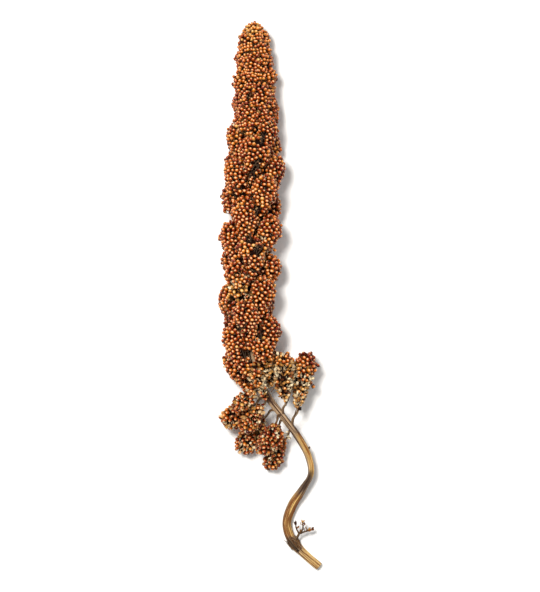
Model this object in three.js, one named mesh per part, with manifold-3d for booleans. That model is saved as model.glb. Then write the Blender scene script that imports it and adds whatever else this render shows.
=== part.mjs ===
// A seed head of sorghum, the grain also called great millet, cut from the plant and laid on a table.
// It lies along Y with its tip towards +Y. Millimetres, +Z up, and z = 0 is the table.
// One stalk runs through the head. Each spray is a side branch, hidden under the grains that it bears.

import * as THREE from "three";
import { ConvexHull } from "three/addons/math/ConvexHull.js";
import { mergeVertices } from "three/addons/utils/BufferGeometryUtils.js";
import Module from "manifold-3d";

const wasm = await Module();
wasm.setup();

// Driving dimensions
const GRAIN_SPACING = 7.7;
const GRAIN_RELIEF = 2.3;
const DOME_TOP = 1.75;
const DEPTH_THAT_SHOWS = 11;
const CLEARANCE = 0.8;
const GOLDEN_ANGLE = 2.39996;
const STALK_ENDS = 40;

// The stalk's centre line, from its cut end to the head's tip: it crooks twice below the head
const STALK_LINE = [
  [53.3, -229.8, 5.0],
  [38.9, -217.2, 5.3],
  [29.9, -206.4, 6.3],
  [26.3, -193.8, 5.6],
  [30.8, -178.5, 6.2],
  [39.8, -164.1, 8.0],
  [46.4, -151.5, 10.0],
  [44.3, -137.1, 12.5],
  [35.3, -120.0, 16.0],
  [22.7, -103.0, 19.5],
  [8.6, -84.0, 22.0],
  [-1.6, -58.0, 23.0],
  [-5.5, -27.0, 23.0],
  [-5.3, 18.0, 23.0],
  [-3.6, 63.0, 22.5],
  [-1.4, 108.0, 21.0],
  [0.2, 153.0, 19.0],
  [-0.9, 190.0, 16.5],
  [-1.8, 226.8, 13.0],
];

// Its mean radius at distances below the head's tip: a thread at first, and a swollen node near the cut end
const STALK_RADIUS = [
  [0, 0.8],
  [40, 1.1],
  [200, 2.6],
  [320, 3.4],
  [385, 3.7],
  [400, 3.775],
  [416, 4.4],
  [440, 4.1],
  [452, 4.3],
  [457, 4.9],
  [460, 4.8],
  [468, 3.8],
  [520, 3.5],
];

// The bare stem below the head has dried thinner: its share of that radius, and how far it sags from the line
const STALK_SHARE = [
  [290, 1],
  [345, 0.74],
  [382, 0.8],
];
const STALK_SAG = [
  [385, 0],
  [427, 1.7],
  [445, 2.4],
  [458, 2.5],
  [520, 2.1],
];
const NODE_AT = 459;

// How far its section is turned, in degrees: below the head it is seen broad, then on edge, then broad again
const STALK_TURN = [
  [300, 60],
  [350, 90],
  [382, 40],
  [398, 0],
  [415, 40],
  [440, 95],
  [520, 80],
];

// The head's half width at distances from its tip, which the outermost grains reach
const ENVELOPE = [
  [0, 4],
  [8, 10],
  [18, 14],
  [28, 16.2],
  [45, 17],
  [75, 19.5],
  [96, 21.5],
  [119, 25.5],
  [160, 24.3],
  [322, 24.3],
];

// Where the sprays' tips lie, as distances below the head's tip, and how far on the next one follows
const FIRST_SPRAY = 7;
const LAST_SPRAY = 284;
const STEP_AT_TIP = 3.7;
const STEP_BELOW = 6.4;
const STALK_SHOWS_FROM = 270;
const LOWEST_FOOT = 316;

// Loose sprays at the head's foot: where each leaves the stalk, its foot, middle and tip, and its girth
const LOOSE_SPRAYS = [
  { from: 350, foot: [35, -99, 21], middle: [38, -76, 20], tip: [45, -47, 17], girth: 9.8 },
  { from: 338, foot: [25, -92, 26], middle: [23, -73, 29], tip: [24, -48, 27], girth: 10.5 },
  { from: 336, foot: [18, -106, 25], middle: [13, -117, 24], tip: [5, -136, 19], girth: 9.4 },
  { from: 352, foot: [27, -120, 12], middle: [19, -130, 9.5], tip: [10, -150, 9], girth: 8.8 },
  { from: 322, foot: [7.5, -92, 28], middle: [0, -100, 29], tip: [-11, -116, 24], girth: 10 },
  { from: 330, foot: [10, -102, 14], middle: [-1, -115, 11], tip: [-13, -136, 10], girth: 10.4 },
  { from: 316, foot: [0, -93, 20], middle: [-12, -98, 18], tip: [-27, -112, 14], girth: 10.5 },
  { from: 302, foot: [3, -77, 29], middle: [-6, -86, 31], tip: [-17, -98, 28], girth: 9 },
  { from: 316, foot: [9, -90, 29], middle: [4, -76, 33.5], tip: [0, -56, 35], girth: 8.5 },
  { from: 342, foot: [20, -109, 18.5], middle: [18, -119, 18], tip: [13, -133, 14.5], girth: 8.6 },
];

const smooth = (t) => t * t * (3 - 2 * t);
const mix = (a, b, t) => a + (b - a) * t;

// A value at x on a line through [x, value] points, level past its ends
function along(table, x) {
  const last = table[table.length - 1];
  if (x <= table[0][0]) return table[0][1];
  if (x >= last[0]) return last[1];
  const i = table.findIndex((row) => row[0] > x);
  const [x0, y0] = table[i - 1];
  const [x1, y1] = table[i];
  return mix(y0, y1, (x - x0) / (x1 - x0));
}

// Seeded random numbers, so that every build is the same
function randomFrom(seed) {
  let state = seed;
  return () => {
    state = (state * 1664525 + 1013904223) % 4294967296;
    return state / 4294967296;
  };
}

const stalkCurve = new THREE.CatmullRomCurve3(
  STALK_LINE.map((p) => new THREE.Vector3(...p)),
  false,
  "centripetal",
);
const STALK_LENGTH = stalkCurve.getLength();
const UP = new THREE.Vector3(0, 0, 1);

// A curve's point at u, and the directions along it, across it and up from it
function frameOn(curve, u) {
  const centre = curve.getPointAt(u);
  const tangent = curve.getTangentAt(u);
  const side = new THREE.Vector3().crossVectors(tangent, UP);
  if (side.lengthSq() < 1e-6) side.set(1, 0, 0);
  side.normalize();
  const top = new THREE.Vector3().crossVectors(side, tangent);
  return { centre, tangent, side, top };
}

const stalkAt = (fromTip) => frameOn(stalkCurve, THREE.MathUtils.clamp(1 - fromTip / STALK_LENGTH, 0, 1));
const stalkRadius = (fromTip) => along(STALK_RADIUS, fromTip);

// A closed tube along a curve, with its section's radius set by a function of the place and the angle
function tube(curve, rings, sides, radiusAt) {
  const points = [];
  const faces = [];
  for (let i = 0; i <= rings; i++) {
    const { centre, side, top } = frameOn(curve, i / rings);
    for (let k = 0; k < sides; k++) {
      const angle = (k / sides) * 2 * Math.PI;
      const r = radiusAt(i / rings, angle);
      const p = centre.clone().addScaledVector(top, r * Math.cos(angle));
      p.addScaledVector(side, r * Math.sin(angle));
      points.push(p);
    }
  }
  for (let i = 0; i < rings; i++)
    for (let k = 0; k < sides; k++) {
      const a = i * sides + k;
      const b = i * sides + ((k + 1) % sides);
      faces.push([a, b, b + sides], [a, b + sides, a + sides]);
    }
  const first = points.length;
  points.push(curve.getPointAt(0), curve.getPointAt(1));
  points.forEach((p) => (p.z = Math.max(p.z, 0)));
  const end = rings * sides;
  for (let k = 0; k < sides; k++) {
    const next = (k + 1) % sides;
    faces.push([first, next, k], [first + 1, end + k, end + next]);
  }
  return geometryOf(points, faces);
}

function geometryOf(points, faces) {
  const geometry = new THREE.BufferGeometry();
  const flat = points.flatMap((p) => [p.x, p.y, p.z]);
  geometry.setAttribute("position", new THREE.Float32BufferAttribute(flat, 3));
  geometry.setIndex(faces.flat());
  return geometry;
}

function solidOf(geometry) {
  const merged = mergeVertices(geometry, 1e-4);
  return new wasm.Manifold(
    new wasm.Mesh({
      numProp: 3,
      vertProperties: merged.attributes.position.array,
      triVerts: new Uint32Array(merged.index.array),
    }),
  );
}

function geometryFromSolid(solid) {
  const { vertProperties, triVerts, numProp, numVert } = solid.getMesh();
  const points = Array.from({ length: numVert }, (_, i) =>
    new THREE.Vector3().fromArray(vertProperties, i * numProp),
  );
  const faces = [];
  for (let i = 0; i < triVerts.length; i += 3)
    faces.push([triVerts[i], triVerts[i + 1], triVerts[i + 2]]);
  return geometryOf(points, faces);
}

// Sprays: each is an axis curve that leaves the stalk and turns up along it, with a girth along that axis

// The half width of a spray at s from its foot, 0, to its tip, 1: slender at the foot, round at the tip
const THICKEST_AT = 0.7;
function girthShare(s) {
  if (s < THICKEST_AT) return Math.sin((s / THICKEST_AT) * (Math.PI / 2)) ** 0.6;
  return Math.sqrt(Math.max(0, 1 - ((s - THICKEST_AT) / (1 - THICKEST_AT)) ** 2));
}

const AXIS_SAMPLES = 20;
class Spray {
  constructor(name, curve, girth) {
    this.name = name;
    this.curve = curve;
    this.girth = girth;
    this.length = curve.getLength();
    this.samples = Array.from({ length: AXIS_SAMPLES }, (_, i) => {
      const s = (i + 0.5) / AXIS_SAMPLES;
      return { centre: curve.getPointAt(s), radius: girth * girthShare(s) };
    });
    this.box = new THREE.Box3().setFromPoints(this.samples.map((b) => b.centre)).expandByScalar(girth * 2);
  }

  // How far p lies from the axis as a share of the girth there, and that girth
  reach(p) {
    let best = Infinity;
    let radius = 1;
    for (const ball of this.samples) {
      const share = p.distanceTo(ball.centre) / ball.radius;
      if (share < best) {
        best = share;
        radius = ball.radius;
      }
    }
    return { share: best, radius };
  }
}

// A spray whose tip lies at a distance below the head's tip, round the stalk by an angle
function sprayOnHead(name, tipBelow, azimuth, length, girth, reach) {
  const at = (fromTip, out) => {
    const { centre, side, top } = stalkAt(fromTip);
    centre.addScaledVector(side, out * Math.cos(azimuth));
    return centre.addScaledVector(top, out * Math.sin(azimuth));
  };
  const foot = Math.min(tipBelow + length, LOWEST_FOOT);
  const curve = new THREE.CubicBezierCurve3(
    at(foot, stalkRadius(foot) + 2),
    at(foot - 0.3 * length, stalkRadius(foot) + 3.5),
    at(tipBelow + 0.42 * length, reach - 1.15 * girth),
    at(tipBelow, reach - 0.4 * girth),
  );
  return new Spray(name, curve, girth);
}

// The sprays wind down the head by the golden angle. Low down, none covers the stalk.
function spraysOnHead() {
  const random = randomFrom(23);
  const spread = (range) => range * (random() - 0.5);
  const made = [];
  let below = FIRST_SPRAY;
  for (let i = 0; below < LAST_SPRAY; i++) {
    const share = smooth(Math.min(1, below / 110));
    const length = mix(29, 51, share) * (1 + spread(0.14));
    const girth = mix(9.2, 13.6, share) * (1 + spread(0.14));
    const azimuth = i * GOLDEN_ANGLE + spread(0.3);
    const reach = along(ENVELOPE, below + 0.3 * length) * (1 + spread(0.12));
    const covers = below > STALK_SHOWS_FROM && Math.sin(azimuth) > 0.3;
    const name = "spray_" + String(made.length + 1).padStart(2, "0");
    if (!covers) made.push(sprayOnHead(name, below, azimuth, length, girth, reach));
    below += mix(STEP_AT_TIP, STEP_BELOW, share);
  }
  return made;
}

const tipSpray = new Spray(
  "spray_tip",
  new THREE.QuadraticBezierCurve3(stalkAt(STALK_ENDS - 2).centre, stalkAt(20).centre, stalkAt(0).centre),
  10,
);
const looseSprays = LOOSE_SPRAYS.map(({ foot, middle, tip, girth }, i) => {
  const [a, b, c] = [foot, middle, tip].map((p) => new THREE.Vector3(...p));
  const bend = b.multiplyScalar(2).addScaledVector(a, -0.5).addScaledVector(c, -0.5);
  return new Spray("loose_spray_" + (i + 1), new THREE.QuadraticBezierCurve3(a, bend, c), girth);
});
const sprays = [tipSpray, ...spraysOnHead(), ...looseSprays];
for (const spray of looseSprays) spray.isLoose = true;
for (const spray of sprays)
  spray.rivals = sprays.filter((o) => o !== spray && o.box.intersectsBox(spray.box));

// Whether p is in the spray's own space: above the table, clear of the stalk and nearer to its axis than to others
const stalkSamples = Array.from({ length: 240 }, (_, i) => {
  const fromTip = (i / 239) * STALK_LENGTH;
  return { fromTip, centre: stalkAt(fromTip).centre, radius: stalkRadius(fromTip) };
});
function isOwn(spray, p, clearance) {
  if (p.z < -1e-6) return false;
  const own = spray.reach(p);
  for (const rival of spray.rivals) {
    if (!rival.box.containsPoint(p)) continue;
    const other = rival.reach(p);
    const gap = (other.share - own.share) / (1 / own.radius + 1 / other.radius);
    if (gap < clearance / 2) return false;
  }
  for (const ball of stalkSamples)
    if (spray !== tipSpray && p.distanceTo(ball.centre) < ball.radius * 1.2 + 0.5) return false;
  return true;
}

// Grain centres over a spray: a spiral of equal areas, its place along the axis and angle round it
function latticeOf(spray) {
  const STEPS = 200;
  const area = [0];
  for (let i = 0; i < STEPS; i++) {
    const s0 = i / STEPS;
    const s1 = (i + 1) / STEPS;
    const r0 = spray.girth * girthShare(s0);
    const r1 = spray.girth * girthShare(s1);
    const slant = Math.hypot(r1 - r0, spray.length / STEPS);
    area.push(area[i] + Math.PI * (r0 + r1) * slant);
  }
  const cell = 0.866 * GRAIN_SPACING ** 2;
  const count = Math.max(12, Math.round(area[STEPS] / cell));
  const points = [];
  let step = 0;
  for (let k = 0; k < count; k++) {
    const wanted = ((k + 0.5) / count) * area[STEPS];
    while (area[step + 1] < wanted) step++;
    const s = (step + (wanted - area[step]) / (area[step + 1] - area[step])) / STEPS;
    points.push({ s, angle: k * GOLDEN_ANGLE });
  }
  return points;
}

// The farthest that a grain can lie from the axis, up to full, with all the way there in the spray's own space
function reachOut(full, isFree) {
  const STEPS = 16;
  let inside = 0;
  let outside = -1;
  for (let k = 1; k <= STEPS && outside < 0; k++)
    if (isFree((full * k) / STEPS)) inside = (full * k) / STEPS;
    else outside = (full * k) / STEPS;
  if (outside < 0) return full;
  for (let k = 0; k < 6; k++) {
    const middle = (inside + outside) / 2;
    if (isFree(middle)) inside = middle;
    else outside = middle;
  }
  return inside;
}

// A spray's grains, each pushed out from the axis as far as its neighbours let it
function grainsOf(spray) {
  return latticeOf(spray).map(({ s, angle }) => {
    const { centre, side, top } = frameOn(spray.curve, s);
    const out = top.multiplyScalar(Math.cos(angle)).addScaledVector(side, Math.sin(angle));
    const full = spray.girth * girthShare(s);
    const radius = reachOut(full, (r) => isOwn(spray, centre.clone().addScaledVector(out, r), CLEARANCE));
    const proxy = new THREE.Vector3(full * Math.cos(angle), full * Math.sin(angle), s * spray.length);
    const grain = { centre, out, radius, proxy };
    grain.shows = spray.isLoose || depthIn(pointOf(grain)) < DEPTH_THAT_SHOWS;
    return grain;
  });
}

const pointOf = (grain) => grain.centre.clone().addScaledVector(grain.out, Math.max(grain.radius, 0.3));

// How deep p lies inside the head's half width
function depthIn(p) {
  let nearest = stalkSamples[0];
  for (const ball of stalkSamples)
    if (p.distanceTo(ball.centre) < p.distanceTo(nearest.centre)) nearest = ball;
  return along(ENVELOPE, nearest.fromTip) - p.distanceTo(nearest.centre);
}

// Draws grains in until the faces between them too are in the spray's own space
function settle(spray, grains, triangles) {
  for (let pass = 0; pass < 20; pass++) {
    const drawnIn = new Set();
    for (const t of triangles) {
      const [a, b, c] = t.map((v) => pointOf(grains[v]));
      const probes = [
        a.clone().add(b).add(c).divideScalar(3),
        a.clone().lerp(b, 0.5),
        b.clone().lerp(c, 0.5),
        c.clone().lerp(a, 0.5),
      ];
      if (probes.some((p) => !isOwn(spray, p, 0.6 * CLEARANCE))) t.forEach((v) => drawnIn.add(v));
    }
    if (drawnIn.size === 0) return;
    for (const v of drawnIn) grains[v].radius *= 0.93;
  }
}

// Keeps every grain that shows, and few of those deep in the head
function thinned(grains) {
  let deep = 0;
  return grains.filter((g) => {
    if (g.shows) return true;
    deep += 1;
    return deep % 3 === 0;
  });
}

function trianglesOver(grains) {
  const hull = new ConvexHull().setFromPoints(grains.map((g) => g.proxy));
  const index = new Map(grains.map((g, i) => [g.proxy, i]));
  return hull.faces.map((face) => {
    const corners = [];
    let edge = face.edge;
    do {
      corners.push(index.get(edge.head().point));
      edge = edge.next;
    } while (edge !== face.edge);
    return corners;
  });
}

// The spray's surface: a faceted dome for each free grain, with valleys between, and plain faces where it is pressed
function grainedSurface(spray) {
  const grains = thinned(grainsOf(spray));
  const triangles = trianglesOver(grains);
  settle(spray, grains, triangles);
  const points = grains.map(pointOf);
  const faceNormal = ([a, b, c]) =>
    new THREE.Vector3().crossVectors(
      points[b].clone().sub(points[a]),
      points[c].clone().sub(points[a]),
    );
  const normals = grains.map(() => new THREE.Vector3());
  for (const t of triangles) {
    const n = faceNormal(t);
    for (const v of t) normals[v].add(n);
  }
  normals.forEach((n) => n.normalize());
  const showing = (v) => grains[v].shows;
  const valley = triangles.map((t) => {
    if (!t.every(showing)) return -1;
    const centre = new THREE.Vector3();
    for (const v of t) centre.add(points[v]).addScaledVector(normals[v], -GRAIN_RELIEF);
    points.push(centre.divideScalar(3));
    return points.length - 1;
  });
  const faceAt = new Map();
  triangles.forEach((t, f) => t.forEach((v, k) => faceAt.set(v + "," + t[(k + 1) % 3], f)));
  const faces = [];
  const fans = new Map();
  triangles.forEach((t, f) => {
    if (valley[f] < 0) {
      faces.push(t);
      return;
    }
    t.forEach((v, k) => {
      const w = t[(k + 1) % 3];
      const beyond = faceAt.get(w + "," + v);
      if (valley[beyond] < 0) {
        faces.push([v, w, valley[f]]);
        return;
      }
      if (!fans.has(v)) fans.set(v, []);
      fans.get(v).push([valley[beyond], valley[f]]);
    });
  });
  for (const [v, fan] of fans) {
    const around = triangles.filter((t) => t.includes(v)).length;
    if (fan.length < around) {
      for (const [a, b] of fan) faces.push([v, a, b]);
      continue;
    }
    faces.push(...domeOver(v, fan, points, normals[v]));
  }
  return geometryOf(points, faces);
}

// Three top corners over a grain's ring of valleys, stitched to it
function domeOver(v, fan, points, normal) {
  const next = new Map(fan);
  const ring = [];
  let at = fan[0][0];
  do {
    ring.push(at);
    at = next.get(at);
  } while (at !== fan[0][0]);
  const centre = points[v];
  const side = points[ring[0]].clone().sub(centre);
  side.addScaledVector(normal, -side.dot(normal)).normalize();
  const other = new THREE.Vector3().crossVectors(normal, side);
  const TOPS = 3;
  const room = Math.min(...ring.map((valley) => points[valley].distanceTo(centre)));
  const radius = Math.min(DOME_TOP, 0.55 * room);
  const tops = Array.from({ length: TOPS }, (_, k) => {
    const angle = ((k + 0.5) / TOPS) * 2 * Math.PI;
    const top = centre
      .clone()
      .addScaledVector(side, radius * Math.cos(angle))
      .addScaledVector(other, radius * Math.sin(angle))
      .addScaledVector(normal, -0.12 * GRAIN_RELIEF);
    if (centre.z < 0.05) top.z = 0;
    top.z = Math.max(top.z, 0);
    points.push(top);
    return points.length - 1;
  });
  const faces = [tops];
  const topFor = (i) => Math.floor((TOPS * (i + 0.5)) / ring.length) % TOPS;
  ring.forEach((valley, i) => {
    const here = topFor(i);
    const before = topFor((i + ring.length - 1) % ring.length);
    faces.push([valley, ring[(i + 1) % ring.length], tops[here]]);
    if (here !== before) faces.push([valley, tops[here], tops[before]]);
  });
  return faces;
}

const GRAIN = { color: 0xb8602a, roughness: 0.5, metalness: 0 };
const STRAW = { color: 0xa98c63, roughness: 0.7, metalness: 0 };

const head = new THREE.Group();
function add(name, geometry, look) {
  const mesh = new THREE.Mesh(geometry, new THREE.MeshStandardMaterial(look));
  mesh.name = name;
  head.add(mesh);
}

const stemCentre = (fromTip) => {
  const { centre } = stalkAt(fromTip);
  centre.z -= along(STALK_SAG, fromTip);
  return centre;
};

// The part of the stalk's line that is built, up to where the topmost spray takes over
class BuiltStalk extends THREE.Curve {
  getPoint(t, target = new THREE.Vector3()) {
    return target.copy(stemCentre(mix(STALK_LENGTH, STALK_ENDS, t)));
  }
}
const stalkTube = tube(new BuiltStalk(), 56, 12, (u, angle) => {
  const fromTip = mix(STALK_LENGTH, STALK_ENDS, u);
  const turn = THREE.MathUtils.degToRad(along(STALK_TURN, fromTip));
  const flat = 0.16 * along([[300, 0], [350, 1]], fromTip);
  return stalkRadius(fromTip) * along(STALK_SHARE, fromTip) * (1 + flat * Math.cos(2 * (angle - turn)));
});

// A thin tapering branch through points
function twig(points, thick, thin) {
  const curve = new THREE.CatmullRomCurve3(points);
  return solidOf(tube(curve, 4, 5, (u) => mix(thick, thin, u)));
}

const branchlets = LOOSE_SPRAYS.map(({ from, foot }) => {
  const { centre, tangent } = stalkAt(from);
  const end = new THREE.Vector3(...foot);
  const bend = centre.clone().lerp(end, 0.5).addScaledVector(tangent, 2);
  const stop = end.clone().addScaledVector(end.clone().sub(bend).normalize(), -0.7);
  return twig([centre, bend, stop], 1.5, 0.8);
});

// The withered side twig at the node, which forks
const node = { ...stalkAt(NODE_AT), centre: stemCentre(NODE_AT) };
const fork = new THREE.Vector3(36.5, -201.5, 9);
const forkedTwig = [
  twig([node.centre, node.centre.clone().lerp(fork, 0.6), fork], 1.3, 1.0),
  twig([fork, new THREE.Vector3(39.5, -197.5, 11), new THREE.Vector3(39.2, -191.5, 11.5)], 1.0, 0.5),
  twig([fork, new THREE.Vector3(42.5, -199.5, 9), new THREE.Vector3(47.5, -198.5, 8)], 1.0, 0.5),
  twig([fork, new THREE.Vector3(34.5, -198, 10.5), new THREE.Vector3(33.5, -193.5, 12)], 0.9, 0.5),
];

// Torn fibres of the sheath, which stand round the node, but not under it, and point up the stalk
const fibreAngles = Array.from({ length: 13 }, (_, i) => i * GOLDEN_ANGLE).filter((a) => Math.cos(a) > -0.45);
const fibres = fibreAngles.map((angle, i) => {
  const { centre, tangent, side, top } = node;
  const out = top.clone().multiplyScalar(Math.cos(angle)).addScaledVector(side, Math.sin(angle));
  const at = (up, off) => centre.clone().addScaledVector(tangent, up).addScaledVector(out, off);
  const reach = 4 + (i % 4) * 1.7;
  return twig([at(-3, 2.4), at(1.5, 4.6), at(reach, 5.9)], 1.0, 0.4);
});
const stalk = wasm.Manifold.union([solidOf(stalkTube), ...branchlets, ...forkedTwig, ...fibres]);
add("stalk", geometryFromSolid(stalk), STRAW);
for (const spray of sprays) add(spray.name, grainedSurface(spray), GRAIN);

// The origin is the middle of the part's footprint on the table
const bounds = new THREE.Box3().setFromObject(head);
const middle = bounds.getCenter(new THREE.Vector3());
for (const mesh of head.children) mesh.geometry.translate(-middle.x, -middle.y, -bounds.min.z);

export default head;
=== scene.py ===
"""A sorghum seed head, cut and laid on a table, dressed with grains, husks and a weathered stalk.

Lengths are metres unless a name ends in MM. The head lies along Y with its tip towards +Y, and z = 0 is
the table.
"""

import logging
import math
from dataclasses import dataclass, field
from enum import Enum
from typing import Iterable, Sequence

import bpy
import numpy as np
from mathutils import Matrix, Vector, noise
from mathutils.bvhtree import BVHTree


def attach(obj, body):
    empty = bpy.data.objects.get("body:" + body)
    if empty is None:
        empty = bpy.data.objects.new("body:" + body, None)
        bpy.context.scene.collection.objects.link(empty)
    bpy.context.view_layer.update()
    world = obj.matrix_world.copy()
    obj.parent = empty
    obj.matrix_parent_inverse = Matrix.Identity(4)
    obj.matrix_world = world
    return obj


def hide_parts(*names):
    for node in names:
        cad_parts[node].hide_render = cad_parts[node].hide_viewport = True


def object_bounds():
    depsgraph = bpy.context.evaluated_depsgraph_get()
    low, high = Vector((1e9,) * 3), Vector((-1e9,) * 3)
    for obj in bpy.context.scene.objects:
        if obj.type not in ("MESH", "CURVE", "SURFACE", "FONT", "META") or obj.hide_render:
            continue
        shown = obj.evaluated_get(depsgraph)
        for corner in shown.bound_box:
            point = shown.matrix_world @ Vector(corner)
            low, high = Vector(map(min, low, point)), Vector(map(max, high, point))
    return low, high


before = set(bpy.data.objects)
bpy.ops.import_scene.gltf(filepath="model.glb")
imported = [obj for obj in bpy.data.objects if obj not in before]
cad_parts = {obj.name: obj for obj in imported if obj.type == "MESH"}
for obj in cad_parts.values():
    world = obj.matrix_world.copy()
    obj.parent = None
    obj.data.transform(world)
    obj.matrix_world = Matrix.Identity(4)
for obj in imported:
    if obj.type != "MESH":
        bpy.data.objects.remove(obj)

LOG = logging.getLogger("seed_head")
MM = 0.001
CAD_BOX = [list(corner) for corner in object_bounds()]
BOX_LOW, BOX_HIGH = np.array(CAD_BOX)
GOLDEN_TURN = 2.39996
UP = np.array([0.0, 0.0, 1.0])

Array = np.ndarray
Point = tuple[float, float, float]
Socket = bpy.types.NodeSocket
Material = bpy.types.Material


# Small helpers


def smooth(low: float, high: float, value: Array | float) -> Array:
    """Returns 0 below low, 1 above high and an S-shaped rise between them."""
    t = np.clip((np.asarray(value, float) - low) / (high - low), 0, 1)
    return t * t * (3 - 2 * t)


def band(starts: float, full: float, fades: float, ends: float, value: Array) -> Array:
    """Returns 1 from full to fades, and 0 below starts and above ends."""
    return smooth(starts, full, value) * smooth(ends, fades, value)


def unit(rows: Array) -> Array:
    """Returns a direction, or each row of them, scaled to length 1."""
    return rows / np.maximum(np.linalg.norm(rows, axis=-1, keepdims=True), 1e-12)


def wander(points: Array, size: float, seed: float) -> Array:
    """Gives each point a smooth random value from about -1 to 1, whose swings are size metres apart."""
    shift = Vector((seed, seed * 0.37, seed * 0.71))
    return np.array([noise.noise(Vector(p) / size + shift) for p in points])


def distance_along(line: Array) -> Array:
    """Returns how far along the line each of its places lies."""
    return np.concatenate([[0], np.cumsum(np.linalg.norm(np.diff(line, axis=0), axis=1))])


def ring_quads(rings: int, sides: int) -> Array:
    """Lists the quads that join rings of corners, where corner 0 starts the first ring.

    Args:
        rings: how many rings there are.
        sides: corners in each ring.

    Returns:
        Four corners a row: two on a ring, and the two beyond them on the next one.
    """
    here = np.arange(sides)
    row = np.stack([here, (here + 1) % sides, (here + 1) % sides + sides, here + sides], axis=1)
    return (row[None] + sides * np.arange(rings - 1)[:, None, None]).reshape(-1, 4)


def fan(middle: int, start: int, sides: int) -> Array:
    """Lists the triangles from a middle corner to each side of the ring that begins at start."""
    here = np.arange(sides)
    return np.column_stack([np.full(sides, middle), start + here, start + (here + 1) % sides])


def add_object(name: str, data: bpy.types.ID) -> bpy.types.Object:
    """Makes an object and links it to the scene.

    Args:
        name: its name.
        data: its mesh, lamp or camera.

    Returns:
        The object.
    """
    made = bpy.data.objects.new(name, data)
    bpy.context.scene.collection.objects.link(made)
    return made


class Finish(Enum):
    """The finishes of the part, with the name of each material."""

    GRAIN = "ripe_grain"
    HUSK = "dry_husk"
    CHAFF = "deep_chaff"
    TWIG = "dry_branchlet"
    STEM = "weathered_stalk"
    PITH = "cut_pith"


Finishes = dict[Finish, Material]


@dataclass
class MeshParts:
    """Triangles and quads gathered for one piece, with the values that its materials read."""

    verts: list[Array] = field(default_factory=list)
    faces: list[tuple[Array, Finish]] = field(default_factory=list)
    values: list[dict[str, Array]] = field(default_factory=list)
    count: int = 0

    def add(self, verts: Array, faces: Array, finish: Finish, **values: Array | float) -> None:
        """Adds one batch of faces, all with the same number of corners.

        Args:
            verts: places, one a row.
            faces: corner numbers, one face a row.
            finish: their finish.
            **values: one number a vertex for each named attribute.
        """
        self.faces.append((np.asarray(faces, np.int64) + self.count, finish))
        self.verts.append(np.asarray(verts, float))
        self.values.append({name: np.broadcast_to(value, (len(verts),)) for name, value in values.items()})
        self.count += len(verts)

    def build(self, name: str, finishes: Finishes) -> bpy.types.Object:
        """Makes the Blender object, with smooth shading and its float attributes.

        Args:
            name: the piece's name.
            finishes: every finish of the part.

        Returns:
            The new object, linked to the scene.
        """
        used = [finish for finish in Finish if any(kind is finish for _, kind in self.faces)]
        verts = np.clip(np.concatenate(self.verts), BOX_LOW, BOX_HIGH)
        corners = np.concatenate([rows.ravel() for rows, _ in self.faces])
        lengths = np.concatenate([np.full(len(rows), rows.shape[1]) for rows, _ in self.faces])
        slots = np.concatenate([np.full(len(rows), used.index(kind)) for rows, kind in self.faces])
        starts = np.concatenate([[0], np.cumsum(lengths)[:-1]])
        mesh = bpy.data.meshes.new(name)
        mesh.vertices.add(len(verts))
        mesh.loops.add(len(corners))
        mesh.polygons.add(len(lengths))
        mesh.vertices.foreach_set("co", verts.astype(np.float32).ravel())
        mesh.loops.foreach_set("vertex_index", corners.astype(np.int32))
        mesh.polygons.foreach_set("loop_start", starts.astype(np.int32))
        mesh.polygons.foreach_set("material_index", slots.astype(np.int32))
        mesh.polygons.foreach_set("use_smooth", np.ones(len(lengths), bool))
        for label in sorted({label for batch in self.values for label in batch}):
            rows = [batch.get(label, np.zeros(len(v))) for batch, v in zip(self.values, self.verts)]
            attribute = mesh.attributes.new(label, "FLOAT", "POINT")
            attribute.data.foreach_set("value", np.concatenate(rows).astype(np.float32))
        mesh.update(calc_edges=True)
        for finish in used:
            mesh.materials.append(finishes[finish])
        return add_object(name, mesh)


def carry(piece: bpy.types.Object, nodes: Sequence[str] = ()) -> None:
    """Puts a piece on the root body, in place of its CAD nodes, and reports it.

    Args:
        piece: the finished object.
        nodes: the CAD nodes that it stands for.
    """
    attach(piece, "root")
    if nodes:
        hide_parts(*nodes)
    LOG.info("%s: %d faces, stands for %d nodes", piece.name, len(piece.data.polygons), len(nodes))


# Finishes

MOTTLE = "dry_mottle"
FIBRES = "fibre_streaks"


def linear(hex_colour: str) -> tuple[float, float, float, float]:
    """Turns a screen colour such as D9782E into linear light, fully opaque."""
    parts = [int(hex_colour[i : i + 2], 16) / 255 for i in (0, 2, 4)]
    return (*(c / 12.92 if c <= 0.04045 else ((c + 0.055) / 1.055) ** 2.4 for c in parts), 1.0)


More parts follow.
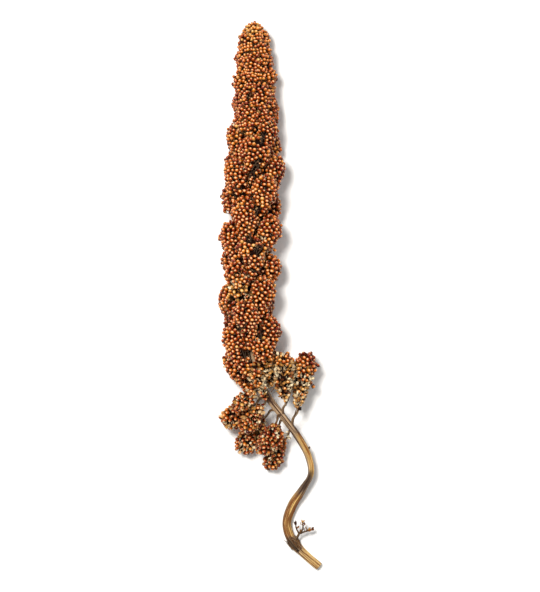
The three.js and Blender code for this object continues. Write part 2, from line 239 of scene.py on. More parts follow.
class Wire:
    """A short way to place and join shader nodes in one tree. A colour may be given as D9782E."""

    def __init__(self, tree: bpy.types.NodeTree) -> None:
        """Keeps the tree and empties it."""
        self.tree = tree
        tree.nodes.clear()

    def node(self, kind: str, settings: dict | None = None, **inputs: object) -> bpy.types.Node:
        """Places a node.

        Args:
            kind: its Blender type, without ShaderNode.
            settings: its own properties.
            **inputs: what its inputs get. A name has _ for a space, and n1 is the second input.

        Returns:
            The node.
        """
        made = self.tree.nodes.new(f"ShaderNode{kind}")
        for key, value in (settings or {}).items():
            setattr(made, key, value)
        for key, value in inputs.items():
            self.feed(made.inputs[int(key[1:]) if key[1:].isdigit() else key.replace("_", " ")], value)
        return made

    def feed(self, socket: Socket, value: object) -> None:
        """Joins an input to another socket, or sets its value.

        Args:
            socket: the input.
            value: a socket, a number or a colour.
        """
        if isinstance(value, Socket):
            self.tree.links.new(value, socket)
        else:
            socket.default_value = linear(value) if isinstance(value, str) else value

    def math(self, how: str, a: object, b: object = 0.5) -> Socket:
        """Works out one number from two."""
        return self.node("Math", {"operation": how}, n0=a, n1=b).outputs[0]

    def span(self, value: Socket, low: float, high: float) -> Socket:
        """Gives 0 at low and 1 at high, and holds the value between them."""
        return self.node("MapRange", n0=value, n1=low, n2=high).outputs[0]

    def between(self, mask: Socket, at_0: float, at_1: float) -> Socket:
        """Gives one number where the mask is 0 and another where it is 1."""
        return self.node("MapRange", n0=mask, n3=at_0, n4=at_1).outputs[0]

    def clouds(self, place: Socket, scale: object, detail: float, rough: float = 0.5) -> Socket:
        """Makes a soft noise from 0 to 1."""
        return self.node("TexNoise", Vector=place, Scale=scale, Detail=detail, Roughness=rough).outputs["Fac"]

    def ramp(self, factor: Socket, stops: Iterable[tuple[float, str]]) -> Socket:
        """Turns a number into a colour along a ramp.

        Args:
            factor: the socket that drives it.
            stops: places from 0 to 1, with a colour each.

        Returns:
            The colour socket.
        """
        made = self.node("ValToRGB", n0=factor)
        rows = made.color_ramp.elements
        for number, (place, colour) in enumerate(stops):
            row = rows[number] if number < 2 else rows.new(place)
            row.position = place
            row.color = linear(colour)
        return made.outputs["Color"]

    def mix(self, factor: object, a: object, b: object, how: str = "MIX") -> Socket:
        """Mixes two colours, with the second one in full where the factor is 1."""
        return self.node("Mix", {"data_type": "RGBA", "blend_type": how}, n0=factor, n6=a, n7=b).outputs[2]

    def lay(self, mask: Socket, share: float, under: object, over: object, how: str = "MIX") -> Socket:
        """Lays one colour over another where the mask is bright, at a share of its strength."""
        return self.mix(self.math("MULTIPLY", mask, share), under, over, how)

    def reads(self, name: str) -> Socket:
        """Reads a float that the mesh carries at each vertex."""
        return self.node("Attribute", {"attribute_name": name, "attribute_type": "GEOMETRY"}).outputs["Fac"]

    def place(self) -> Socket:
        """Reads the place on the piece, in metres."""
        return self.node("TexCoord").outputs["Object"]


class Paint(Wire):
    """The nodes of one material."""

    def __init__(self, name: str) -> None:
        """Makes the empty material.

        Args:
            name: its name.
        """
        self.material = bpy.data.materials.new(name)
        self.material.use_nodes = True
        super().__init__(self.material.node_tree)

    def group(self, name: str, **inputs: object) -> bpy.types.bpy_prop_collection:
        """Places a shared effect with values of its own, and returns its outputs."""
        return self.node("Group", {"node_tree": bpy.data.node_groups[name]}, **inputs).outputs

    def mottle(self, cloud_scale: float, speck_scale: float) -> tuple[Socket, Socket]:
        """Places the mottle, and returns its Cloud and Speck masks."""
        made = self.group(MOTTLE, Cloud_Scale=cloud_scale, Speck_Scale=speck_scale)
        return made["Cloud"], made["Speck"]

    def fibres(self, along: Socket, count: float, stretch: float) -> tuple[Socket, Socket]:
        """Places the fibres, and returns their Streak and Fine masks."""
        made = self.group(FIBRES, Along=along, Round=self.reads("round"), Count=count, Stretch=stretch)
        return made["Streak"], made["Fine"]

    def shade(self, colour: Socket, rough: object, height: Socket, depth: float, specular: float,
              **own: float) -> Material:
        """Adds the shader, with its bump, and joins it to the output.

        Args:
            colour: the colour socket.
            rough: the roughness, a number or a socket.
            height: the socket that the bump reads.
            depth: how deep the bump is, in metres.
            specular: the strength of its reflections, from 0 to 1.
            **own: plain numbers for the shader's own sockets.

        Returns:
            The finished material.
        """
        bump = self.node("Bump", Strength=1.0, Distance=depth, Height=height).outputs[0]
        skin = self.node("BsdfPrincipled", Base_Color=colour, Roughness=rough, Normal=bump,
                         Specular_IOR_Level=specular, **own)
        self.node("OutputMaterial", Surface=skin.outputs[0])
        return self.material


def effect(name: str, inputs: dict[str, float], outputs: Sequence[str]) -> tuple:
    """Starts a shader node group whose sockets are all plain numbers.

    Args:
        name: the group's name.
        inputs: the name and default of each input.
        outputs: the name of each output.

    Returns:
        The group's wiring helper, its input node and its output node.
    """
    wire = Wire(bpy.data.node_groups.new(name, "ShaderNodeTree"))
    sockets = wire.tree.interface
    for label, default in inputs.items():
        sockets.new_socket(label, in_out="INPUT", socket_type="NodeSocketFloat").default_value = default
    for label in outputs:
        sockets.new_socket(label, in_out="OUTPUT", socket_type="NodeSocketFloat")
    return wire, wire.tree.nodes.new("NodeGroupInput"), wire.tree.nodes.new("NodeGroupOutput")


def mottle_effect() -> None:
    """Makes the group for uneven dry skin, which gives broad Cloud and fine Speck masks from 0 to 1."""
    wire, given, out = effect(MOTTLE, {"Cloud Scale": 400.0, "Speck Scale": 2500.0}, ("Cloud", "Speck"))
    place = wire.place()
    for label, detail, low, high in (("Cloud", 3.0, 0.3, 0.7), ("Speck", 2.0, 0.52, 0.68)):
        mask = wire.clouds(place, given.outputs[f"{label} Scale"], detail)
        wire.feed(out.inputs[label], wire.span(mask, low, high))


def fibre_effect() -> None:
    """Makes the group for fibres along a stem or husk, which gives a broad Streak mask and a Fine one."""
    labels = {"Along": 0.0, "Round": 0.0, "Count": 14.0, "Stretch": 0.05}
    wire, given, out = effect(FIBRES, labels, ("Streak", "Fine"))
    turn = wire.math("MULTIPLY", given.outputs["Round"], math.tau)
    run = wire.math("MULTIPLY", given.outputs["Along"], given.outputs["Stretch"])
    for label, share, low, high in (("Streak", 0.22, 0.45, 0.55), ("Fine", 0.85, 0.38, 0.62)):
        reach = wire.math("MULTIPLY", given.outputs["Count"], share)
        across = wire.math("MULTIPLY", wire.math("COSINE", turn), reach)
        up = wire.math("MULTIPLY", wire.math("SINE", turn), reach)
        spot = wire.node("CombineXYZ", X=across, Y=up, Z=run).outputs[0]
        wire.feed(out.inputs[label], wire.span(wire.clouds(spot, 1.0, 4.0, 0.6), low, high))


@dataclass(frozen=True)
class GrainFinish:
    """The hard, slightly glossy skin of a ripe grain, from deep red to gold."""

    deepest: str = "4A0E00"
    red: str = "862200"
    orange: str = "B64B02"
    amber: str = "D87A1A"
    gold: str = "E2A852"
    # A pale colour painted on each grain's top as its highlight.
    painted_highlight: str = "FFD094"
    scar: str = "1A0502"
    # Near black painted shade for the lower part of each grain, where the grains shade each other.
    foot: str = "300500"

    def build(self) -> Material:
        """Makes the material.

        Returns:
            The material: darker at the foot with painted shade, paler at the crown with a painted highlight,
                flecked, with a scar at the tip.
        """
        paint = Paint(Finish.GRAIN.value)
        along = paint.reads("along")
        cloud, speck = paint.mottle(420.0, 2600.0)
        tone = paint.math("ADD", paint.reads("tone"), paint.between(cloud, -0.1, 0.1))
        tones = ((0.0, self.deepest), (0.3, self.red), (0.55, self.orange), (0.8, self.amber),
                 (1.0, self.gold))
        # Painted shade: each grain's lower part is darkened almost to black.
        skin = paint.lay(paint.span(along, 0.88, 0.4), 0.97, paint.ramp(tone, tones), self.foot)
        # Painted highlight: a pale patch on each grain's top.
        skin = paint.lay(paint.span(along, 0.85, 0.97), 0.75, skin, self.painted_highlight)
        skin = paint.lay(speck, 0.35, skin, self.red, "MULTIPLY")
        skin = paint.lay(paint.span(along, 0.982, 0.996), 0.45, skin, self.scar)
        rough = paint.between(cloud, 0.22, 0.36)
        return paint.shade(skin, rough, speck, 0.02 * MM, 0.22, Coat_Weight=0.05, Coat_Roughness=0.12)


@dataclass(frozen=True)
class HuskFinish:
    """Dry glumes: straw with fine veins, browner at the foot and bleached at the rim."""

    straw: str = "D49C4C"
    bleached: str = "FFF0C8"
    brown: str = "7A3A08"
    dark: str = "1E0800"

    def build(self) -> Material:
        """Makes the material.

        Returns:
            The material.
        """
        paint = Paint(Finish.HUSK.value)
        along = paint.reads("along")
        cloud, _ = paint.mottle(300.0, 1800.0)
        _, veins = paint.fibres(along, 16.0, 0.6)
        tones = ((0.0, self.dark), (0.35, self.brown), (0.7, self.straw), (1.0, self.bleached))
        skin = paint.lay(veins, 0.3, paint.ramp(paint.reads("tone"), tones), self.brown, "MULTIPLY")
        skin = paint.lay(paint.span(along, 0.4, 0.0), 0.6, skin, self.brown)
        rim = paint.math("MULTIPLY", paint.span(along, 0.75, 1.0), cloud)
        skin = paint.lay(rim, 0.5, skin, self.bleached)
        return paint.shade(skin, paint.between(veins, 0.45, 0.7), veins, 0.05 * MM, 0.4)


@dataclass(frozen=True)
class ShadeChaffFinish:
    """What lies deep between the grains: husk feet and branch ends, painted near black as the shade that
    falls there.
    """

    # Near black colours, painted as the shade deep between the grains.
    darkest: str = "0A0100"
    brown: str = "240800"
    straw: str = "4A2408"

    def build(self) -> Material:
        """Makes the material.

        Returns:
            The material.
        """
        paint = Paint(Finish.CHAFF.value)
        cloud, speck = paint.mottle(260.0, 900.0)
        skin = paint.lay(speck, 0.3, paint.mix(cloud, self.darkest, self.brown), self.straw)
        return paint.shade(skin, paint.between(cloud, 0.7, 0.95), speck, 1.0 * MM, 0.1)


@dataclass(frozen=True)
class StalkFinish:
    """Weathered stem skin: grey-brown ribs, golden straw where the skin is clean, dark scars, and painted
    shade along the stem's sides.
    """

    finish: Finish = Finish.STEM
    grey: str = "CFAC84"
    brown: str = "44240E"
    # Dark colour for specks, dark marks and the painted shade at the stem's sides.
    marks_and_painted_shade: str = "2A1406"
    gold: str = "96581A"
    pale: str = "F4C878"

    def build(self) -> Material:
        """Makes the material.

        Returns:
            The material, golden and dark where the mesh says so; its dark share holds dark marks and painted
            shade at the stem's sides.
        """
        paint = Paint(self.finish.value)
        cloud, speck = paint.mottle(90.0, 1400.0)
        streak, fine = paint.fibres(paint.reads("along_mm"), 9.0, 0.03)
        golden = paint.math("ADD", paint.reads("golden"), paint.between(cloud, -0.125, 0.125))
        skin = paint.mix(paint.span(golden, 0.25, 0.7), paint.mix(streak, self.brown, self.grey),
                         paint.mix(streak, self.gold, self.pale))
        skin = paint.lay(paint.math("SUBTRACT", 1.0, fine), 0.5, skin, self.brown, "MULTIPLY")
        skin = paint.lay(speck, 0.25, skin, self.marks_and_painted_shade, "MULTIPLY")
        # The dark share holds both dark marks and painted shade at the stem's sides.
        skin = paint.mix(paint.reads("dark"), skin, self.marks_and_painted_shade)
        return paint.shade(skin, paint.between(fine, 0.75, 0.5), fine, 0.25 * MM, 0.35)


@dataclass(frozen=True)
class PithFinish:
    """The cut end: a pale spongy middle with the dots of its vessels, in a tan rind."""

    pith: str = "E9D9B0"
    vessel: str = "8B6A3C"
    rind: str = "9A743E"

    def build(self) -> Material:
        """Makes the material.

        Returns:
            The material.
        """
        paint = Paint(Finish.PITH.value)
        cloud, _ = paint.mottle(700.0, 1500.0)
        cells = paint.node("TexVoronoi", Vector=paint.place(), Scale=1500.0).outputs["Distance"]
        dot = paint.span(cells, 0.34, 0.2)
        skin = paint.lay(cloud, 0.35, paint.lay(dot, 0.7, self.pith, self.vessel), self.rind, "MULTIPLY")
        skin = paint.mix(paint.span(paint.reads("round"), 0.78, 0.93), skin, self.rind)
        return paint.shade(skin, paint.between(cloud, 0.75, 0.92), dot, 0.2 * MM, 0.25)


@dataclass(frozen=True)
class TableFinish:
    """The plain pale floor."""

    tint: str = "F4F3F1"
    shaded: float = 0.97

    def build(self) -> Material:
        """Makes the material.

        Returns:
            The material, with the faintest of clouds in it.
        """
        paint = Paint("pale_floor")
        cloud = paint.clouds(paint.place(), 60.0, 2.0)
        tint = linear(self.tint)
        skin = paint.mix(cloud, tint, (*(c * self.shaded for c in tint[:3]), 1.0))
        return paint.shade(skin, 0.8, cloud, 0.01 * MM, 0.2)


def all_finishes() -> Finishes:
    """Builds the shared effects and then each finish.

    Returns:
        The material of each finish.
    """
    mottle_effect()
    fibre_effect()
    return {
        Finish.GRAIN: GrainFinish().build(),
        Finish.HUSK: HuskFinish().build(),
        Finish.CHAFF: ShadeChaffFinish().build(),
        Finish.STEM: StalkFinish().build(),
        Finish.TWIG: StalkFinish(Finish.TWIG, "C8A880", "6A4828", "32200F").build(),
        Finish.PITH: PithFinish().build(),
    }


# Spikelets: a grain in its two glumes


@dataclass(frozen=True)
class SpikeletShape:
    """One model of a spikelet, standing on its base, with +Z out of the spray. Sizes in mm.

    A length of 0 leaves the grain out, as in an empty husk. The husk's width is in degrees.
    """

    length: float
    width: float
    thick: float
    opening: float
    husk_reach: float
    husk_width: float = 52.0
    sides: int = 8
    rings: int = 5
    empty_length: float = 3.3
    skins: tuple[float, float] = (1.1, 0.98)
    spans: tuple[tuple[float, float], ...] = ((0.2, 1.0), (0.68, 0.86))

    @staticmethod
    def girth(height: Array | float) -> Array:
        """Returns the grain's girth at a share of its height, from 0 to 1."""
        return np.sqrt(np.maximum(0.0, 1 - (2 * np.asarray(height) - 1) ** 2))

    def grain(self) -> tuple[Array, Array, Array, Array]:
        """Makes the ovoid grain.

        Returns:
            Its places in metres, its triangles, and each vertex's share along it and round it.
        """
        heights = (1 - np.cos(np.linspace(0, math.pi, self.rings + 2)[1:-1])) / 2
        girth = (self.girth(heights) * (0.9 + 0.1 * np.sin(heights * math.pi)))[:, None]
        turns = np.arange(self.sides) / self.sides * math.tau
        across, deep = girth * np.cos(turns) * self.width / 2, girth * np.sin(turns) * self.thick / 2
        rows = np.stack([across, deep, np.broadcast_to(heights[:, None] * self.length, across.shape)], axis=2)
        verts = np.vstack([(0, 0, 0), rows.reshape(-1, 3), (0, 0, self.length * 0.985)]) * MM
        along = np.concatenate([[0], np.repeat(heights, self.sides), [1]])
        last, top = len(verts) - 1, len(verts) - 1 - self.sides
        skin = ring_quads(self.rings, self.sides) + 1
        faces = np.vstack([fan(0, 1, self.sides)[:, ::-1], skin[:, :3], skin[:, [0, 2, 3]],
                           fan(last, top, self.sides)])
        return verts, faces, along, np.zeros(len(verts))

    def husk(self, side: int) -> tuple[Array, Array, Array, Array]:
        """Makes one glume, a thin closed boat round the foot of the grain.

        Args:
            side: 1 or -1, for the two that face each other.

        Returns:
            Its places in metres, its triangles, and each vertex's share along it and round it.
        """
        body = self.length or self.empty_length
        rows: list[tuple[float, ...]] = []
        for skin, shell in enumerate(self.skins):
            rows.append((0.0, 0.0, -0.1 + skin * 0.12, 0.0, 0.0))
            for reach, breadth in self.spans:
                height = reach * self.husk_reach
                girth = self.girth(height) / 2 * shell
                flare = self.opening * reach**2 * 2.2
                for step in (-1.0, 0.0, 1.0):
                    turn = math.radians(self.husk_width) * step * breadth
                    across = side * math.cos(turn) * (girth * self.width + flare)
                    deep = math.sin(turn) * (girth * self.thick + flare * 0.5)
                    rows.append((across, deep, height * body, reach, turn / math.tau))
            height = self.husk_reach * 1.12
            across = side * (self.girth(min(height, 0.98)) / 2 * shell * self.width + self.opening * 2.6)
            rows.append((across, 0.0, height * body, 1.0, 0.0))
        table = np.array(rows)
        return table[:, :3] * MM, self.boat_faces(side), table[:, 3], table[:, 4]

    @staticmethod
    def boat_faces(side: int) -> Array:
        """Lists the triangles of a glume.

        Args:
            side: 1 or -1, for the two that face each other.

        Returns:
            Its outer skin on corners 0 to 7, its inner skin on 8 to 15, and the rim between them.
        """
        skin = [(0, 2, 1), (0, 3, 2), (4, 5, 7), (5, 6, 7)]
        for a in (1, 2):
            skin += [(a, a + 1, a + 4), (a, a + 4, a + 3)]
        inner = [(a + 8, c + 8, b + 8) for a, b, c in skin]
        rim = []
        for here, there in zip((0, 1, 4, 7, 6, 3), (1, 4, 7, 6, 3, 0)):
            rim += [(here, there + 8, there), (here, here + 8, there + 8)]
        faces = np.array(skin + inner + rim)
        return faces if side < 0 else faces[:, ::-1]

    def batch(self) -> list[tuple[Finish, Array, Array, Array, Array]]:
        """Gives the finish, places, triangles, along and round of each part of the spikelet."""
        husks = [(Finish.HUSK, *self.husk(side)) for side in (1, -1)]
        return [(Finish.GRAIN, *self.grain()), *husks] if self.length else husks


SPIKELETS = (
    SpikeletShape(3.95, 3.7, 2.9, 0.25, 0.48),
    SpikeletShape(3.75, 3.55, 2.8, 0.2, 0.42),
    SpikeletShape(4.1, 3.6, 2.95, 0.3, 0.52, 46.0),
    SpikeletShape(3.8, 3.45, 2.75, 0.4, 0.58, 42.0),
    SpikeletShape(3.5, 3.2, 2.7, 0.55, 0.82, 48.0),
    SpikeletShape(3.3, 3.0, 2.5, 0.7, 0.92, 44.0),
    SpikeletShape(0.0, 2.7, 2.3, 0.55, 0.9, 64.0),
    SpikeletShape(0.0, 2.0, 1.6, 0.3, 1.0, 70.0),
)
FULL_KINDS = (0, 4)
HUSKED_KINDS = (4, 6)
EMPTY_KINDS = (6, 8)
HUSKED_LEAST = 0.04
HUSKED_RISE = 1.4
EMPTY_POWER = 1.5
FULL_PITCH = 3.05 * MM
TIP_PITCH_LESS = 0.33 * MM


# Where the head is redder, more golden or huskier, and where it is open


@dataclass(frozen=True)
class Patch:
    """A soft round area of the head, seen from above. Middle and reach in mm."""

    middle: tuple[float, float]
    reach: float
    gold: float = 0.0
    husky: float = 0.0

    def share(self, places: Array) -> Array:
        """Returns how strongly each place lies in the patch, from 0 to 1."""
        away = np.hypot(*(places[:, i] / MM - self.middle[i] for i in (0, 1)))
        return 1 - smooth(self.reach * 0.4, self.reach, away)


PATCHES = (
    Patch((-14, 226), 26, 0.2),
    Patch((-12, 190), 26, 0.1),
    Patch((-26, 4), 14, 0.3, 0.3),
    Patch((-10, 40), 16, 0.12, 0.1),
    Patch((-22, -20), 22, -0.06),
    Patch((-34, -50), 22, -0.08),
    Patch((8, -66), 24, 0.12, 0.4),
    Patch((24, -64), 16, 0.1, 0.25),
    Patch((36, -50), 20, -0.15, -0.3),
    Patch((27, -86), 18, 0.2, 0.45),
    Patch((-14, -80), 20, 0.0, 0.12),
    Patch((-6, -112), 20, -0.1),
)


def ripeness(places: Array) -> tuple[Array, Array]:
    """Works out the colour and huskiness of the head at given places.

    Args:
        places: rows of places in metres.

    Returns:
        The mean grain tone, from 0 for deep red to 1 for gold, and the share of empty husks.
    """
    height = places[:, 1]
    tone = 0.53 + 0.02 * smooth(0.05, 0.21, height) + 0.06 * smooth(-0.02, -0.07, height)
    husky = 0.02 + 0.3 * smooth(-0.04, -0.075, height)
    for patch in PATCHES:
        share = patch.share(places)
        tone += patch.gold * share
        husky += patch.husky * share
    tone += 0.09 * wander(places, 0.018, 3.1)
    husky += 0.12 * wander(places, 0.012, 6.4) * smooth(0.0, 0.2, husky)
    return tone, np.clip(husky, 0, 0.75)


# Open places between the sprays, seen from above: x, y and reach in mm
CLEFTS_MM = np.array([
    (-16.1, 164.8, 3.0), (-6.2, 132.0, 3.4), (-6.6, 127.0, 3.5), (-9.8, 109.5, 3.5), (-12.3, 104.5, 2.9),
    (-15.2, 99.8, 3.1), (-24.0, 89.2, 2.5), (-11.0, 71.0, 3.0), (-16.6, 46.0, 3.6), (-10.3, 37.9, 3.5),
    (-14.0, 20.5, 3.0), (-26.0, -25.1, 3.0), (-8.0, -33.0, 3.0), (-21.0, -47.0, 3.0),
])
UPPER_SIDE = 26 * MM


def in_cleft(places: Array) -> Array:
    """Tells which places lie in a cleft on the upper side, where no grain grows."""
    away = np.hypot(*(places[:, None, i] / MM - CLEFTS_MM[None, :, i] for i in (0, 1)))
    return np.any(away < CLEFTS_MM[None, :, 2], axis=1) & (places[:, 2] > UPPER_SIDE)


# The stalk's line and tables, as the CAD has them. Tables go by the distance below the head's tip in mm.

STALK_LINE_MM = np.array([
    (53.3, -229.8, 5.0), (38.9, -217.2, 5.3), (29.9, -206.4, 6.3), (26.3, -193.8, 5.6), (30.8, -178.5, 6.2),
    (39.8, -164.1, 8.0), (46.4, -151.5, 10.0), (44.3, -137.1, 12.5), (35.3, -120.0, 16.0),
    (22.7, -103.0, 19.5), (8.6, -84.0, 22.0), (-1.6, -58.0, 23.0), (-5.5, -27.0, 23.0), (-5.3, 18.0, 23.0),
    (-3.6, 63.0, 22.5), (-1.4, 108.0, 21.0), (0.2, 153.0, 19.0), (-0.9, 190.0, 16.5), (-1.8, 226.8, 13.0),
])
RADIUS_MM = np.array([(0, 0.8), (40, 1.1), (200, 2.6), (320, 3.4), (385, 3.7), (400, 3.775), (416, 4.4),
                      (440, 4.1), (452, 4.3), (457, 4.9), (460, 4.8), (468, 3.8), (520, 3.5)])
SHARE = np.array([(290, 1), (345, 0.74), (382, 0.8)])
SAG_MM = np.array([(385, 0), (427, 1.7), (445, 2.4), (458, 2.5), (520, 2.1)])
TURN_DEG = np.array([(300, 60), (350, 90), (382, 40), (398, 0), (415, 40), (440, 95), (520, 80)])
FLATNESS = np.array([(300, 0), (350, 0.16)])
ENVELOPE_MM = np.array([(0, 4), (8, 10), (18, 14), (28, 16.2), (45, 17), (75, 19.5), (96, 21.5), (119, 25.5),
                        (160, 24.3), (322, 24.3)])
SHIFT_MM = np.array([-12.12, 2.84, 0.0])
NODE = 459.0 * MM

# Which knots each row of the curve's pyramid runs between
PYRAMID = (((0, 1), (1, 2), (2, 3)), ((0, 2), (1, 3)), ((1, 2),))


def row_at(table: Array, below_mm: Array | float) -> Array:
    """Reads a table of values at distances below the head's tip."""
    return np.interp(below_mm, table[:, 0], table[:, 1])


def packed(places_mm: Sequence[Point] | Array) -> Array:
    """Moves places of the CAD, in mm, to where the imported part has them, in metres."""
    return (np.array(places_mm) + SHIFT_MM) * MM


def curve_through(points: Array | Sequence[Array], steps: int) -> Array:
    """Draws a centripetal Catmull-Rom curve through points.

    Args:
        points: the places that it passes.
        steps: how many places to give between two of them.

    Returns:
        Places along the curve, both ends among them.
    """
    points = np.array(points, float)
    rows = np.vstack([2 * points[0] - points[1], points, 2 * points[-1] - points[-2]])
    out = []
    for k in range(1, len(rows) - 2):
        four = rows[k - 1 : k + 3]
        gaps = np.maximum(np.linalg.norm(np.diff(four, axis=0), axis=1), 1e-9) ** 0.5
        knots = np.concatenate([[0.0], np.cumsum(gaps)])
        for t in np.linspace(knots[1], knots[2], steps, endpoint=False):
            level = list(four)
            for pairs in PYRAMID:
                level = [(a * (knots[high] - t) + b * (t - knots[low])) / (knots[high] - knots[low])
                         for a, b, (low, high) in zip(level, level[1:], pairs)]
            out.append(level[0])
    return np.array([*out, rows[-2]])


@dataclass
class StalkLine:
    """The stalk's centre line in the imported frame, read by the distance below the head's tip."""

    places: Array = field(init=False)
    from_tip: Array = field(init=False)

    def __post_init__(self) -> None:
        """Draws the line, measures it from the tip and lets it sag."""
        self.places = (curve_through(STALK_LINE_MM + SHIFT_MM, 24) * MM)[::-1].copy()
        self.from_tip = distance_along(self.places)
        self.places[:, 2] -= row_at(SAG_MM, self.from_tip / MM) * MM

    def at(self, below: Array | float) -> Array:
        """Returns the centre at distances below the tip, in metres."""
        return np.stack([np.interp(below, self.from_tip, self.places[:, i]) for i in range(3)], axis=-1)

    def frame_at(self, below: float) -> tuple[Array, Array, Array, Array]:
        """Finds the directions at a place of the stalk.

        Args:
            below: the distance below the tip, in metres.

        Returns:
            The centre, the way up the stalk, a level side and the upper side there.
        """
        length = float(self.from_tip[-1])
        up = unit(self.at(max(below - 2 * MM, 0)) - self.at(min(below + 2 * MM, length)))
        top = unit(UP - up * (UP @ up))
        return self.at(below), up, np.cross(up, top), top

    def nearest(self, places: Array) -> Array:
        """Returns the distance of each place from the line."""
        return np.min(np.linalg.norm(places[:, None] - self.places[None, ::4], axis=2), axis=1)


# Sprays


def read_mesh(mesh: bpy.types.Mesh) -> list[Array]:
    """Reads what a mesh holds.

    Args:
        mesh: the mesh.

    Returns:
        Its places, outward directions and triangles.
    """
    mesh.calc_loop_triangles()
    tables = []
    for items, label, kind in ((mesh.vertices, "co", float), (mesh.vertices, "normal", float),
                               (mesh.loop_triangles, "vertices", np.int64)):
        rows = np.zeros(len(items) * 3, kind)
        items.foreach_get(label, rows)
        tables.append(rows.reshape(-1, 3))
    return tables


def after_modifiers(mesh: bpy.types.Mesh, *steps: tuple[str, dict]) -> list[Array]:
    """Runs modifiers on a mesh, reads the outcome and removes the mesh.

    Args:
        mesh: a mesh of its own for this.
        *steps: each modifier's type, with its settings.

    Returns:
        Places, outward directions and triangles.
    """
    body = add_object(mesh.name, mesh)
    for kind, settings in steps:
        modifier = body.modifiers.new(kind, kind)
        for key, value in settings.items():
            setattr(modifier, key, value)
    bpy.context.view_layer.update()
    outcome = read_mesh(body.evaluated_get(bpy.context.evaluated_depsgraph_get()).to_mesh())
    body.to_mesh_clear()
    bpy.data.objects.remove(body)
    bpy.data.meshes.remove(mesh)
    return outcome


def volume_of(verts: Array, tris: Array) -> float:
    """Returns the volume that closed triangles hold."""
    a, b, c = verts[tris].transpose(1, 0, 2)
    return float(np.einsum("ij,ij->i", a, np.cross(b, c)).sum() / 6)


def areas_of(verts: Array, tris: Array) -> Array:
    """Returns the area of each triangle."""
    a, b, c = verts[tris].transpose(1, 0, 2)
    return np.linalg.norm(np.cross(b - a, c - a), axis=1) / 2


def tree_of(verts: Array, tris: Array) -> BVHTree:
    """Makes a search tree of triangles."""
    return BVHTree.FromPolygons([Vector(v) for v in verts], tris.tolist())


# How a CAD spray is rounded, and the most that its surface then grows to win back its volume
EVEN_OUT = ("REMESH", {"mode": "VOXEL", "voxel_size": 1.3 * MM})
ROUND_OFF = ("SMOOTH", {"factor": 0.5, "iterations": 7})
MOST_GROWTH = 1.8 * MM

# Grains sit in rows, farther apart across the head than along it
ROW_STRETCH = np.array([0.91, 1.13, 1.0])
TRIES = 26
EASINGS = 4
EASE_REACH = 1.22
EASE_STEP = 0.35


@dataclass
class SprayForm:
    """The rounded body of one CAD spray: its smooth surface, and the way from its foot to its tip."""

    node: str
    verts: Array
    tris: Array
    normals: Array
    tipward: Array
    surface: BVHTree

    @classmethod
    def read(cls, name: str, line: StalkLine) -> "SprayForm":
        """Reads a CAD spray through a voxel remesh and a smoothing, and gives back the volume they take.

        Args:
            name: the CAD node.
            line: the stalk's line, which tells the spray's foot from its tip.

        Returns:
            The rounded form.
        """
        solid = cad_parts[name].data
        verts, _, tris = read_mesh(solid)
        whole = volume_of(verts, tris)
        verts, normals, tris = after_modifiers(solid.copy(), EVEN_OUT, ROUND_OFF)
        lost = whole - volume_of(verts, tris)
        verts = verts + normals * min(lost / areas_of(verts, tris).sum(), MOST_GROWTH)
        middle = verts.mean(0)
        axis = np.linalg.svd(verts - middle, full_matrices=False)[2][0]
        share = (verts - middle) @ axis
        foot, tip = line.nearest(verts[[share.argmin(), share.argmax()]])
        way = axis if tip > foot else -axis
        if name == "spray_tip":
            way = np.array([0.0, 1.0, 0.0])
        return cls(name, verts, tris, normals, way, tree_of(verts, tris))

    def scatter(self, spacing: float, draw: np.random.Generator) -> tuple[Array, Array]:
        """Spreads places evenly over the surface, none nearer than the spacing, and then eases them apart.

        Args:
            spacing: the least distance, in metres.
            draw: the seeded random numbers.

        Returns:
            The places and the outward directions there.
        """
        area = areas_of(self.verts, self.tris)
        tries = int(area.sum() / spacing**2 * TRIES)
        picks = draw.choice(len(area), tries, p=area / area.sum())
        a, b = draw.random((2, tries, 1))
        flip = a + b > 1
        a, b = np.where(flip, 1 - a, a), np.where(flip, 1 - b, b)
        first, second, third = self.verts[self.tris[picks]].transpose(1, 0, 2)
        spots = first + a * (second - first) + b * (third - first)
        kept = spots[:1]
        for spot in spots[1:]:
            if np.min(np.sum(((kept - spot) * ROW_STRETCH) ** 2, axis=1)) > spacing**2:
                kept = np.vstack([kept, spot])
        for _ in range(EASINGS):
            gap = (kept[:, None] - kept[None]) * ROW_STRETCH
            size = np.linalg.norm(gap, axis=2) + np.eye(len(kept))
            push = np.maximum(0, spacing * EASE_REACH - size) * (1 - np.eye(len(kept)))
            kept = kept + EASE_STEP * np.sum(gap / size[..., None] * push[..., None], axis=1) / ROW_STRETCH
            kept = np.array([self.surface.find_nearest(Vector(p))[0] for p in kept])
        return kept, self.normals_at(kept)

    def normals_at(self, places: Array) -> Array:
        """Finds the smoothed outward direction at places on the surface.

        Args:
            places: the places, one a row.

        Returns:
            One direction a row.
        """
        rows = []
        for place in places:
            _, normal, face, _ = self.surface.find_nearest(Vector(place))
            soft = self.normals[self.tris[face]].mean(0)
            rows.append(soft if np.linalg.norm(soft) > 0.1 else np.array(normal))
        return unit(np.array(rows))

    def inner_core(self, depth: float, most_faces: int = 520) -> tuple[Array, Array]:
        """Makes the body under the grains, which bears the near black painted shade between them.

        Args:
            depth: how far it lies below the smooth surface, in metres.
            most_faces: about how many triangles it may have.

        Returns:
            Its places and triangles.
        """
        mesh = bpy.data.meshes.new("core")
        mesh.from_pydata((self.verts - self.normals * depth).tolist(), [], self.tris.tolist())
        verts, _, tris = after_modifiers(mesh, ("DECIMATE", {"ratio": min(1.0, most_faces / len(self.tris))}))
        return verts, tris


def pitch_at(places: Array) -> Array:
    """Returns how far apart the grains sit: closer near the head's tip, where they are smaller."""
    return FULL_PITCH - TIP_PITCH_LESS * smooth(0.06, 0.2, places[:, 1])


